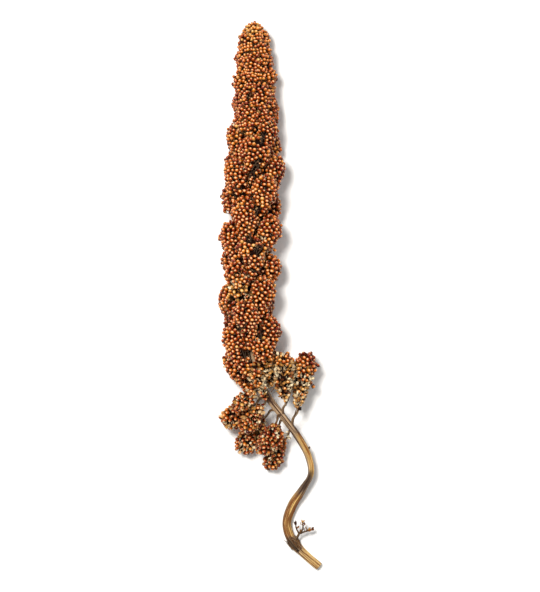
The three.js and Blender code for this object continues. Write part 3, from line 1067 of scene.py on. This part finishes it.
@dataclass
class SprayBunch:
    """Neighbouring sprays made as one piece: their cores, and every grain and husk on them."""

    name: str
    forms: list[SprayForm]
    others: BVHTree
    seed: int
    seat: float = 2.6 * MM
    lean: float = 0.55
    core_depth: float = 2.4 * MM
    core_floor: float = 0.4 * MM
    room_from: float = 1.6 * MM
    room: float = 1.4 * MM

    def build(self, finishes: Finishes) -> None:
        """Makes the piece and puts it in place of its CAD nodes.

        Args:
            finishes: every finish of the part.
        """
        parts = MeshParts()
        draw = np.random.default_rng(self.seed)
        grains = 0
        for form in self.forms:
            verts, tris = form.inner_core(self.core_depth)
            verts[:, 2] = np.maximum(verts[:, 2], self.core_floor)
            # The core under the grains is painted near black, as shade.
            parts.add(verts, tris, Finish.CHAFF)
            places, outward = form.scatter(float(pitch_at(form.verts.mean(0)[None])[0]), draw)
            seen = np.array([self.stands_free(p, n) for p, n in zip(places, outward)]) & ~in_cleft(places)
            grains += np.count_nonzero(seen)
            self.dress(parts, form, places[seen], outward[seen], draw)
        carry(parts.build(self.name, finishes), [form.node for form in self.forms])
        LOG.info("%s bears %d spikelets", self.name, grains)

    def stands_free(self, place: Array, outward: Array) -> bool:
        """Tells whether the place has room above it for a grain."""
        start = Vector(place + outward * self.room_from)
        return self.others.ray_cast(start, Vector(outward), self.room)[0] is None

    def dress(self, parts: MeshParts, form: SprayForm, places: Array, outward: Array,
              draw: np.random.Generator) -> None:
        """Stands a spikelet on each place.

        Args:
            parts: what the piece is gathered in.
            form: the spray that they stand on.
            places: where they stand, on the smooth surface.
            outward: which way is out there.
            draw: the seeded random numbers.
        """
        count = len(places)
        lean = self.lean + 0.3 * smooth(0.05, 0.15, places[:, 1])
        axis = unit(outward + form.tipward * lean[:, None] + draw.normal(0, 0.15, (count, 3)))
        size = draw.uniform(0.98, 1.13, count) * pitch_at(places) / FULL_PITCH
        sink = self.seat * size + draw.normal(0, 0.25 * MM, count)
        stand_spikelets(parts, places - axis * sink[:, None], axis, size, draw)


def stand_spikelets(parts: MeshParts, feet: Array, axis: Array, size: Array, draw: np.random.Generator,
                    husky_more: float = 0.0, tone_more: float = 0.0) -> None:
    """Stands a spikelet on each foot, each turned, coloured and chosen by seeded draws.

    Args:
        parts: what the piece is gathered in.
        feet: the places of their feet.
        axis: the way that each one points.
        size: the scale of each one.
        draw: the seeded random numbers.
        husky_more: how much likelier than the head around it each one is to be an empty husk.
        tone_more: how much more golden the grains are, and how much paler the husks.
    """
    count = len(feet)
    tone, husky = ripeness(feet)
    husky = np.clip(husky + husky_more, 0, 1)
    tone = tone + tone_more + draw.normal(0, 0.15, count)
    kinds = draw.integers(*FULL_KINDS, count)
    roll = draw.random(count)
    kinds = np.where(roll < HUSKED_LEAST + HUSKED_RISE * husky, draw.integers(*HUSKED_KINDS, count), kinds)
    empty = roll < husky**EMPTY_POWER
    kinds = np.where(empty, draw.integers(*EMPTY_KINDS, count), kinds)
    size = size * np.where(empty, draw.uniform(0.9, 1.25, count), 1.0)
    side = unit(np.cross(axis, np.array([0.35, 1.0, 0.0]) + draw.normal(0, 0.4, (count, 3))))
    front = np.cross(axis, side)
    husked = kinds >= HUSKED_KINDS[0]
    swing = draw.normal(0, 1, count) * np.where(husked, 0.27, 0.15)
    dryness = np.clip(0.26 + swing + 0.26 * husked + 0.45 * husky + tone_more, 0, 1)
    for kind, shape in enumerate(SPIKELETS):
        mine = kinds == kind
        if not mine.any():
            continue
        turn = np.stack([side[mine], front[mine], axis[mine]], axis=2) * size[mine, None, None]
        built = [(finish, np.einsum("nij,vj->nvi", turn, verts) + feet[mine][:, None], *rest)
                 for finish, verts, *rest in shape.batch()]
        everything = np.concatenate([rows for _, rows, *_ in built], axis=1)
        nudge = np.maximum(0, BOX_LOW - everything.min(1)) - np.maximum(0, everything.max(1) - BOX_HIGH)
        for finish, rows, tris, along, around in built:
            number, width = rows.shape[:2]
            faces = (tris[None] + (np.arange(number) * width)[:, None, None]).reshape(-1, 3)
            shade = np.clip(tone[mine] if finish is Finish.GRAIN else dryness[mine], 0.02, 0.98)
            parts.add((rows + nudge[:, None]).reshape(-1, 3), faces, finish, tone=np.repeat(shade, width),
                      along=np.tile(along, number), round=np.tile(around, number))


# The stalk


@dataclass
class Stem:
    """A tapering stem swept along places, closed at both ends. The radius may differ round each ring."""

    line: Array
    radius: Array
    sides: int = 10
    floor: float = 0.15 * MM

    @classmethod
    def through(cls, points: Sequence[Array], thick: float, thin: float, sides: int = 8,
                steps: int = 5) -> "Stem":
        """Makes a stem that runs smoothly through points in metres, from one radius in mm to another."""
        line = curve_through(points, steps)
        return cls(line, np.linspace(thick, thin, len(line)) * MM, sides)

    def sweep(self) -> tuple[Array, Array, Array, Array, Array]:
        """Sweeps the section along the line.

        Returns:
            Places, outward directions, quads, the distance along in mm and the share round, without the ends.
        """
        tangents = unit(np.gradient(self.line, axis=0))
        side = np.cross(tangents[0], UP if abs(tangents[0][2]) < 0.9 else (1.0, 0.0, 0.0))
        sides = []
        for tangent in tangents:
            side = unit(side - tangent * (side @ tangent))
            sides.append(side)
        turns = np.arange(self.sides) / self.sides * math.tau
        tops = np.cross(sides, tangents)[:, None]
        out = np.cos(turns)[:, None] * tops + np.sin(turns)[:, None] * np.array(sides)[:, None]
        verts = self.line[:, None] + out * self.radius.reshape(len(self.line), -1, 1)
        quads = ring_quads(len(self.line), self.sides)[:, [1, 2, 3, 0]]
        along = np.repeat(distance_along(self.line) / MM, self.sides)
        around = np.tile(turns / math.tau, len(self.line))
        return verts.reshape(-1, 3), out.reshape(-1, 3), quads, along, around

    def add_to(self, parts: MeshParts, golden: float = 0.0, dark: float = 0.0) -> None:
        """Adds the stem to a piece as a branchlet, its ends closed by small fans.

        Args:
            parts: what the piece is gathered in.
            golden: how far its skin is golden straw, from 0 to 1.
            dark: how far it is dark, from 0 to 1.
        """
        verts, _, quads, along, around = self.sweep()
        verts[:, 2] = np.maximum(verts[:, 2], self.floor)
        count, base = len(verts), len(verts) - self.sides
        fans = np.vstack([fan(count, 0, self.sides)[:, ::-1], fan(count + 1, base, self.sides)]) + parts.count
        both = np.vstack([verts, verts[: self.sides].mean(0), verts[base:].mean(0)])
        parts.add(both, quads, Finish.TWIG, along_mm=np.append(along, [along[0], along[-1]]),
                  round=np.append(around, [0, 0]), golden=golden, dark=dark)
        parts.faces.append((fans, Finish.TWIG))


TWIG_MM = {
    "fork": (36.5, -201.5, 9), "over": (39.5, -197.5, 11), "above": (39.2, -191.5, 11.5),
    "right": (42.5, -199.5, 9), "outer": (47.5, -198.5, 8),
    "left": (34.5, -198, 10.5), "low": (33.5, -193.5, 12),
}
TWIG_HUSKS_MM = ((39.2, -191.5, 11.5), (38.4, -193.6, 11.3), (47.3, -198.4, 8.2), (45.0, -199.4, 8.8),
                 (33.6, -193.8, 11.9), (34.4, -196.4, 11.2), (41.5, -198.9, 9.6), (37.5, -199.8, 10.2),
                 (40.4, -194.0, 11.5), (43.4, -198.2, 9.5))
SCRAPS_MM = np.array([(15.4, -113.0, 19.5), (14.6, -114.8, 19.0), (16.3, -116.2, 18.4), (17.2, -118.0, 17.6)])


@dataclass
class Stalk:
    """The stem from its cut end to the head's tip, with its node, torn sheath, twig and branchlets.

    Each rib row holds how many ribs run round, their depth, and how far and how slowly they sway. Each swell
    row holds its size in metres, its seed and its depth in mm.
    """

    line: StalkLine
    sides: int = 44
    rings: int = 330
    ends_mm: float = 40.0
    girth: float = 0.96
    seed: int = 5
    rib_rows: tuple[tuple[float, ...], ...] = ((8, 0.055, 1.6, 31), (15, 0.035, -1.1, 23))
    groove: tuple[float, float, float] = (0.16, 1.2, 0.3)
    swell_rows: tuple[tuple[float, ...], ...] = ((0.011, 8.3, 0.16), (0.0035, 2.2, 0.07))
    floor: float = 0.12 * MM
    cut_dish: float = 0.5 * MM
    dish_shares: tuple[float, ...] = (1.0, 0.9, 0.75, 0.5, 0.25)
    fibres: int = 64
    stub_mm: float = 372.0
    parts: MeshParts = field(default_factory=MeshParts)

    def build(self, finishes: Finishes) -> None:
        """Makes the piece in place of the CAD stalk.

        Args:
            finishes: every finish of the part.
        """
        self.add_stem()
        self.add_branchlets()
        self.add_twig()
        self.add_scraps()
        self.add_sheath()
        carry(self.parts.build("stalk_skin", finishes), ["stalk"])

    def add_stem(self) -> None:
        """Sweeps the ribbed, withered stem, and closes its cut end with pith."""
        below = np.linspace(self.line.from_tip[-1], self.ends_mm * MM, self.rings)
        mm = below[:, None] / MM
        turns = np.arange(self.sides)[None] / self.sides * math.tau
        radius = row_at(RADIUS_MM, mm) * row_at(SHARE, mm)
        turn = np.radians(row_at(TURN_DEG, mm))
        shape = 1 + row_at(FLATNESS, mm) * np.cos(2 * (turns - turn))
        for count, depth, sway, slow in self.rib_rows:
            shape = shape + depth * np.cos(count * turns + sway * np.sin(mm / slow))
        depth, place, width = self.groove
        off = np.angle(np.exp(1j * (turns - turn - place))) / width
        shape = shape - depth * np.exp(-(off**2)) * smooth(470, 455, mm)
        stem = Stem(self.line.at(below), self.girth * radius * shape * MM, self.sides)
        verts, out, quads, _, around = stem.sweep()
        swell = sum(wander(verts, size, seed) * depth for size, seed, depth in self.swell_rows)
        verts = verts + out * (swell * MM)[:, None]
        verts[:, 2] = np.maximum(verts[:, 2], self.floor)
        along = np.repeat(below / MM, self.sides)
        golden, dark = self.skin_zones(along, out[:, 0])
        self.parts.add(verts, quads, Finish.STEM, along_mm=along, round=around, golden=golden, dark=dark)
        self.add_end(verts[: self.sides], Finish.PITH, self.cut_dish, 1)
        self.add_end(verts[-self.sides :], Finish.STEM, 0.0, -1)

    @staticmethod
    def skin_zones(mm: Array, right: Array) -> tuple[Array, Array]:
        """Says where the stem is golden straw and where it is dark, with dark marks and with painted shade
        along its sides.

        Args:
            mm: distances below the tip.
            right: how far each vertex faces right, from -1 to 1.

        Returns:
            The golden share and the dark share, the latter with painted shade at the sides.
        """
        patch = 1.3 * band(346, 372, 390, 398, mm) * smooth(-0.8, 0.1, right)
        lower = band(402, 420, 450, 458, mm) * (0.6 + 0.3 * smooth(-0.35, 0.45, right))
        golden = np.clip(patch + lower + smooth(461, 470, mm) * 0.55, 0, 1)
        twist = band(387, 393, 402, 420, mm) * band(-1.0, -0.75, 0.2, 0.8, right)
        twist = twist + 0.6 * band(408, 420, 446, 455, mm) * np.exp(-(((right - 0.35) / 0.16) ** 2))
        ring = band(450, 456, 460, 466, mm)
        edge = smooth(404, 424, mm) * smooth(-0.7, -0.95, right)
        # Painted shade: the stem's two sides, where it turns away, are darkened.
        painted_side_shade = smooth(0.72, 0.98, np.abs(right)) * smooth(300, 330, mm)
        return golden, np.clip(twist * 0.75 + ring * 0.2 + edge * 0.12 + painted_side_shade * 0.4, 0, 0.8)

    def add_end(self, rim: Array, finish: Finish, dish: float, way: int) -> None:
        """Closes an end of the stem with rings that run to its middle.

        Args:
            rim: the end ring of the stem.
            finish: its finish.
            dish: how far the middle sinks in, in metres.
            way: 1 for the cut end, -1 for the far one, which faces the other way.
        """
        middle, sides = rim.mean(0), len(rim)
        inward = unit(np.cross(rim[1] - middle, rim[0] - middle)) * dish
        rings = [middle + (rim - middle) * share + inward * (1 - share**3) for share in self.dish_shares]
        verts = np.vstack([*rings, middle + inward])
        quads = ring_quads(len(rings), sides)
        last = fan(len(verts) - 1, len(verts) - 1 - sides, sides)[:, ::-1]
        faces = np.vstack([quads[:, [0, 3, 2]], quads[:, [0, 2, 1]], last])[:, ::way]
        edge = np.append(np.repeat(self.dish_shares, sides), 0.0)
        self.parts.add(verts, faces, finish, along_mm=0.0, round=edge, golden=0.6, dark=0.0)

    def add_branchlets(self) -> None:
        """Adds the bare branchlets from the stalk to the loose sprays."""
        for spray in LOOSE_SPRAYS:
            centre, up, _, _ = self.line.frame_at(spray.leaves * MM)
            foot, middle, tip = packed((spray.foot, spray.middle, spray.tip))
            bend = (centre + foot) / 2 + up * 2 * MM
            points = [centre, bend, foot, middle, middle + (tip - middle) * 0.7]
            Stem.through(points, 1.35, 0.5).add_to(self.parts, golden=0.1)

    def add_twig(self) -> None:
        """Adds the withered side twig at the node, which forks."""
        node = self.line.at(NODE)
        at = {name: packed(place) for name, place in TWIG_MM.items()}
        base = [node, node + (at["fork"] - node) * 0.6, at["fork"]]
        forks = [[at[name] for name in ("fork", *ends)] for ends in (("over", "above"), ("right", "outer"),
                                                                     ("left", "low"))]
        for points, thick, thin in zip([base, *forks], (1.25, 0.95, 0.95, 0.85), (1.0, 0.45, 0.45, 0.45)):
            Stem.through(points, thick, thin).add_to(self.parts, dark=0.3)

    def add_scraps(self) -> None:
        """Adds what clings to the stem: husks on the twig, dry scraps, and the stub of a lost branch."""
        draw = np.random.default_rng(self.seed + 1)
        feet = packed(TWIG_HUSKS_MM)
        away = unit(feet - self.line.at(NODE) + draw.normal(0, 0.006, feet.shape))
        size = draw.uniform(0.7, 1.0, len(feet))
        stand_spikelets(self.parts, feet - away * 0.8 * MM, away, size, draw, 1.0, -0.6)
        out = np.array([(-0.75, -0.35, 0.45)]) + draw.normal(0, 0.35, SCRAPS_MM.shape)
        stand_spikelets(self.parts, SCRAPS_MM * MM, unit(out), draw.uniform(0.5, 0.8, len(out)), draw, 1.0)
        centre, up, _, _ = self.line.frame_at(self.stub_mm * MM)
        out = unit(np.array([0.8, 0.45, 0.35])) * MM
        points = [centre + out * 2.0, centre + out * 3.4, centre + out * 4.5 + up * 0.6 * MM]
        Stem.through(points, 1.2, 0.65, steps=4).add_to(self.parts, dark=0.3)

    def add_sheath(self) -> None:
        """Adds the torn fibres of the leaf sheath round the node, all but those under it."""
        draw = np.random.default_rng(self.seed)
        centre, up, side, top = self.line.frame_at(NODE)
        for number in range(self.fibres):
            angle = number * GOLDEN_TURN
            out = top * math.cos(angle) + side * math.sin(angle)
            if out[2] < -0.6:
                continue
            way, reach = (up, 8.0) if number % 4 else (-up, 4.0)
            across = np.cross(up, out) * draw.normal(0, 1.3)
            start = out * 2.9 - way * draw.uniform(3, 8)
            knee = -way * draw.uniform(-1.0, 2.5) + out * draw.uniform(3.7, 4.5) + across * 0.4
            end = way * draw.uniform(1.0, reach) + out * draw.uniform(3.8, 5.0) + across
            points = [centre + place * MM for place in (start, knee, end)]
            stem = Stem.through(points, draw.uniform(0.3, 0.85), 0.2, 5, 4)
            stem.add_to(self.parts, golden=draw.uniform(0, 0.7), dark=draw.choice([0.0, 0.0, 0.2, 0.7]))


@dataclass(frozen=True)
class LooseSpray:
    """A low side branch: where it leaves the stalk, and the line of its body, in mm as the CAD has it."""

    leaves: float
    foot: Point
    middle: Point
    tip: Point


LOOSE_SPRAYS = (
    LooseSpray(350, (35, -99, 21), (38, -76, 20), (45, -47, 17)),
    LooseSpray(338, (25, -92, 26), (23, -73, 29), (24, -48, 27)),
    LooseSpray(336, (18, -106, 25), (13, -117, 24), (5, -136, 19)),
    LooseSpray(352, (27, -120, 12), (19, -130, 9.5), (10, -150, 9)),
    LooseSpray(322, (7.5, -92, 28), (0, -100, 29), (-11, -116, 24)),
    LooseSpray(330, (10, -102, 14), (-1, -115, 11), (-13, -136, 10)),
    LooseSpray(316, (0, -93, 20), (-12, -98, 18), (-27, -112, 14)),
    LooseSpray(302, (3, -77, 29), (-6, -86, 31), (-17, -98, 28)),
    LooseSpray(316, (9, -90, 29), (4, -76, 33.5), (0, -56, 35)),
    LooseSpray(342, (20, -109, 18.5), (18, -119, 18), (13, -133, 14.5)),
)


@dataclass(frozen=True)
class Raceme:
    """A thin branchlet that bears a few spikelets beside or between the sprays. Places in packed mm."""

    line: Sequence[Point] | Array
    bears_from: float = 0.45
    pitch: float = 2.5
    husky: float = 0.35
    thick: float = 0.55
    thin: float = 0.28

    def add_to(self, parts: MeshParts, draw: np.random.Generator) -> None:
        """Adds the branchlet, and spikelets all round it from bears_from on.

        Args:
            parts: what the piece is gathered in.
            draw: the seeded random numbers.
        """
        stem = Stem.through(np.array(self.line) * MM, self.thick, self.thin, 6, 6)
        stem.add_to(parts, golden=draw.uniform(0, 0.4), dark=draw.uniform(0, 0.25))
        spine = stem.line
        far = distance_along(spine)
        count = max(1, int(far[-1] * (1 - self.bears_from) / (self.pitch * MM) * 1.7))
        share = np.linspace(self.bears_from, 1.0, count)
        feet, ways = (np.stack([np.interp(share * far[-1], far, rows[:, i]) for i in range(3)], axis=1)
                      for rows in (spine, np.gradient(spine, axis=0)))
        ways = unit(ways)
        side = unit(np.cross(ways, UP))
        turn = np.arange(count)[:, None] * GOLDEN_TURN + draw.uniform(0, math.tau)
        out = np.cos(turn) * side + np.sin(turn) * np.cross(side, ways)
        axis = unit(out * (1 - 0.75 * share[:, None] ** 4) + ways * 0.8)
        stand_spikelets(parts, feet + out * 0.2 * MM, axis, draw.uniform(0.8, 0.98, count), draw, self.husky)


RACEMES = (
    Raceme(((-8.5, 203, 17), (-8, 212, 17.5), (-7.5, 221, 15)), 0.1, 1.9, 0.0),
    Raceme(((0.8, -79.3, 27), (7, -71, 31), (12.5, -60, 32)), 0.55),
    Raceme(((13, -91, 24), (17, -81, 27.5), (18.8, -68, 29)), 0.6),
    Raceme(((19.7, -100.5, 21), (22, -93, 25), (22.6, -82, 27)), 0.6),
    Raceme(((7, -71, 31), (3.5, -64, 34), (1.5, -57, 35)), 0.5),
    Raceme(((17, -81, 27.5), (13, -74, 30), (11, -66, 32)), 0.5),
    Raceme(((33, -63, 20), (37.2, -60.6, 21.5), (39.2, -58.6, 21.5)), 0.96, 2.5, -1.0, 0.45),
    Raceme(((29, -72, 19), (32, -73.5, 20), (34.6, -74.3, 20)), 0.96, 2.5, -1.0, 0.45),
    Raceme(((-4, -86, 28), (-9.5, -83, 33), (-16, -80, 35)), 0.4),
    Raceme(((-3, -99, 28), (-11, -104, 31), (-19, -110, 30)), 0.45),
    Raceme(((4, -111, 24), (-4, -118, 26), (-10, -128, 25)), 0.4),
    Raceme(((9, -115, 19), (6, -124, 22), (1, -134, 20)), 0.45),
)


@dataclass
class BetweenSprays:
    """Spikelets on longer stalks that fill the clefts between the sprays, out to the rounded outline."""

    line: StalkLine
    seed: int = 77
    pitch_mm: float = 3.2
    starts_mm: float = 5.0
    ends_mm: float = 284.0
    shallowest: float = 3.0 * MM
    deepest: float = 26.0 * MM
    stalked_from: float = 4.0 * MM
    height: float = 3.7 * MM
    lowest: float = 2.5 * MM

    def build(self, forms: Sequence[SprayForm], finishes: Finishes) -> None:
        """Makes the piece.

        Args:
            forms: every spray, between which the clefts lie.
            finishes: every finish of the part.
        """
        draw = np.random.default_rng(self.seed)
        starts = np.cumsum([0] + [len(form.verts) for form in forms])
        surface = tree_of(np.concatenate([form.verts for form in forms]),
                          np.concatenate([form.tris + start for form, start in zip(forms, starts)]))
        parts = MeshParts()
        feet, axes = [], []
        for row, level in enumerate(np.arange(self.starts_mm, self.ends_mm, self.pitch_mm)):
            number = max(6, int(math.tau * row_at(ENVELOPE_MM, level) / self.pitch_mm))
            wanted = 0.55 - 0.92 * float(smooth(70, 112, level))
            deepest = self.deepest - 11 * MM * float(smooth(60, 80, level))
            for k in range(number):
                below = level + (draw.uniform(-0.3, 0.3) + 2.0 * k / number) * self.pitch_mm
                centre, up, side, top = self.line.frame_at(below * MM)
                turn = (k + 0.37 * row + draw.uniform(-0.25, 0.25)) / number * math.tau
                out = side * math.cos(turn) + top * math.sin(turn)
                edge = float(row_at(ENVELOPE_MM, below)) * MM * draw.uniform(0.9, 1.0)
                hit = surface.ray_cast(Vector(centre + out * (edge + 4 * MM)), Vector(-out), edge)[0]
                cleft = edge if hit is None else edge - float((np.array(hit) - centre) @ out)
                foot = centre + out * (edge - self.height)
                if not self.shallowest < cleft < deepest or foot[2] < self.lowest:
                    continue
                notch = 0.6 * float(smooth(70, 112, level) * smooth(0.35, 0.75, out[0]))
                if wander(foot[None], 0.009, 4.4)[0] > wanted - notch or in_cleft(foot[None])[0]:
                    continue
                feet.append(foot)
                axes.append(unit(out + up * 0.75 + draw.normal(0, 0.15, 3)))
                if cleft > self.stalked_from:
                    root = centre + out * (edge - cleft - 0.5 * MM) - up * 1.5 * MM
                    line = np.array([root, (root + foot) / 2 + up * 0.3 * MM, foot + out * 0.5 * MM])
                    Stem(line, np.array([0.4, 0.3, 0.3]) * MM, 4).add_to(parts, dark=0.3)
        self.add_bare_ends(parts, surface, draw)
        size = draw.uniform(0.9, 1.06, len(feet)) * pitch_at(np.array(feet)) / FULL_PITCH
        stand_spikelets(parts, np.array(feet), np.array(axes), size, draw)
        carry(parts.build("grains_between", finishes))

    @staticmethod
    def add_bare_ends(parts: MeshParts, surface: BVHTree, draw: np.random.Generator, each: int = 3) -> None:
        """Lays bare branch ends and withered husks in the open clefts.

        Args:
            parts: what the piece is gathered in.
            surface: the smooth surfaces of all the sprays.
            draw: the seeded random numbers.
            each: how many of either lie in a cleft.
        """
        for x, y, reach in CLEFTS_MM:
            hit = surface.ray_cast(Vector((x * MM, y * MM, 60 * MM)), Vector(-UP))[0]
            if hit is None:
                continue
            floor = np.array(hit) - 2.1 * MM * UP
            for number in range(each):
                middle = floor + draw.normal(0, 0.4, 3) * np.array([reach, reach, 0.5]) * MM
                way = unit(np.array([draw.normal(0, 0.5), 1.0, 0.15])) * (reach + 1.2) * MM
                side = np.array([draw.normal(0, 0.8), 0, 0.5]) * MM
                stem = Stem.through([middle - way, middle + side, middle + way], 0.5, 0.35, 6)
                stem.add_to(parts, golden=0.1 * number, dark=draw.uniform(0.65, 0.95))
            spread = draw.normal(0, 0.4 * reach, (each, 2))
            spots = floor + np.column_stack([spread, np.full(each, -2.0)]) * MM
            lean = unit(draw.normal(0, 0.45, (each, 3)) + np.array([0, 0.4, 1.0]))
            stand_spikelets(parts, spots, lean, draw.uniform(0.6, 0.8, each), draw, 0.3, -0.5)


@dataclass
class LooseEnds:
    """The racemes that stand out from the sprays, as one piece, with wisps along the head's edge."""

    seed: int = 41
    wisps: int = 30

    def build(self, forms: Sequence[SprayForm], finishes: Finishes) -> None:
        """Makes the piece.

        Args:
            forms: the sprays, whose edges bear the wisps.
            finishes: every finish of the part.
        """
        draw = np.random.default_rng(self.seed)
        parts = MeshParts()
        for raceme in RACEMES:
            raceme.add_to(parts, draw)
        for _ in range(self.wisps):
            form = forms[draw.integers(len(forms))]
            edge = np.flatnonzero((np.abs(form.normals[:, 2]) < 0.5) & (np.abs(form.normals[:, 0]) > 0.5))
            if not len(edge):
                continue
            pick = draw.choice(edge)
            root, out = form.verts[pick] / MM, form.normals[pick]
            way = unit(out * 0.7 + form.tipward + draw.normal(0, 0.3, 3))
            line = (root - out * 2, root + out * 0.6, root + out * 0.9 + way * draw.uniform(1.5, 3.2))
            Raceme(line, 0.55, 2.2, 0.3, 0.35).add_to(parts, draw)
        carry(parts.build("loose_racemes", finishes))


# The studio


@dataclass
class Studio:
    """The pale floor, the soft lights and the camera, which looks straight down."""

    view_length: float = 0.492
    camera_height: float = 1.75
    focus_height: float = 0.02
    sensor: float = 36.0
    floor_half: float = 20.0
    floor_gap: float = 0.2 * MM
    surround: float = 0.19

    def build(self) -> None:
        """Makes the floor, lights, world and camera."""
        self.add_floor()
        self.add_light("key", (-0.38, 0.4, 1.34), 0.38, 28.0, (1.0, 0.98, 0.95))
        self.add_light("fill", (0.9, -0.35, 1.0), 1.1, 3.5, (0.96, 0.98, 1.0))
        self.add_light("overhead", (0.0, 0.0, 2.3), 1.5, 8.5, (1.0, 1.0, 1.0))
        self.set_world()
        self.add_camera()

    def add_floor(self) -> None:
        """Lays the floor under the head."""
        half = self.floor_half
        mesh = bpy.data.meshes.new("floor")
        mesh.from_pydata([(-half, -half, 0), (half, -half, 0), (half, half, 0), (-half, half, 0)], [],
                         [(0, 1, 2, 3)])
        mesh.materials.append(TableFinish().build())
        floor = add_object("floor", mesh)
        floor.location.z = -self.floor_gap

    @staticmethod
    def add_light(name: str, place: Point, size: float, power: float, colour: Point) -> None:
        """Hangs one square soft light that faces the head.

        Args:
            name: its name.
            place: where it hangs.
            size: the length of its side.
            power: its power in watts.
            colour: its tint.
        """
        data = bpy.data.lights.new(name, "AREA")
        data.shape = "SQUARE"
        data.size = size
        data.energy = power
        data.color = colour
        light = add_object(name, data)
        light.location = place
        light.rotation_mode = "QUATERNION"
        light.rotation_quaternion = (-Vector(place)).to_track_quat("-Z", "Y")

    def set_world(self) -> None:
        """Sets an even pale surround."""
        world = bpy.data.worlds.new("surround")
        world.use_nodes = True
        ground = world.node_tree.nodes["Background"]
        ground.inputs["Color"].default_value = (1.0, 1.0, 1.0, 1.0)
        ground.inputs["Strength"].default_value = self.surround
        bpy.context.scene.world = world
        bpy.context.scene.view_settings.view_transform = "Standard"

    def add_camera(self) -> None:
        """Hangs the camera over the head, with the head's tip at the top of the picture."""
        data = bpy.data.cameras.new("camera")
        data.sensor_width = self.sensor
        data.lens = self.sensor * (self.camera_height - self.focus_height) / self.view_length
        data.clip_start = 0.05
        data.clip_end = 60.0
        camera = add_object("camera", data)
        camera.location = (0.0, 0.0, self.camera_height)
        bpy.context.scene.camera = camera


# All of it

SPRAYS_IN_BUNCH = 6
RIGHT_LOOSE_SPRAYS = 2


def bunch_names() -> list[tuple[str, list[str]]]:
    """Lists the pieces and the CAD sprays that each of them stands for.

    Returns:
        The name of each piece, with its CAD nodes.
    """
    numbered = sorted(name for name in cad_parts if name.startswith("spray_") and name != "spray_tip")
    loose = [f"loose_spray_{number}" for number in range(1, 1 + len(LOOSE_SPRAYS))]
    bunches = [("grains_tip", ["spray_tip", *numbered[:SPRAYS_IN_BUNCH]])]
    for start in range(SPRAYS_IN_BUNCH, len(numbered), SPRAYS_IN_BUNCH):
        members = numbered[start : start + SPRAYS_IN_BUNCH]
        bunches.append((f"grains_{start + 1:02d}_{start + len(members):02d}", members))
    bunches.append(("grains_loose_right", loose[:RIGHT_LOOSE_SPRAYS]))
    bunches.append(("grains_loose_left", loose[RIGHT_LOOSE_SPRAYS:]))
    return bunches


def all_sprays() -> BVHTree:
    """Makes one search tree of every CAD spray.

    Returns:
        The tree.
    """
    verts: list[Vector] = []
    faces: list[tuple[int, ...]] = []
    for name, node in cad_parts.items():
        if name == "stalk":
            continue
        base = len(verts)
        verts += [v.co.copy() for v in node.data.vertices]
        faces += [tuple(base + i for i in p.vertices) for p in node.data.polygons]
    return BVHTree.FromPolygons(verts, faces)


def main() -> None:
    """Builds the studio, the stalk and every bunch of sprays."""
    logging.basicConfig(level=logging.INFO, format="%(message)s")
    Studio().build()
    finishes = all_finishes()
    line = StalkLine()
    Stalk(line).build(finishes)
    others = all_sprays()
    everyone: list[SprayForm] = []
    for number, (name, members) in enumerate(bunch_names()):
        forms = [SprayForm.read(member, line) for member in members]
        SprayBunch(name, forms, others, seed=100 + number).build(finishes)
        everyone += forms
    BetweenSprays(line).build(everyone, finishes)
    LooseEnds().build(everyone, finishes)
    bpy.context.view_layer.update()


if __name__ == "__main__":
    main()
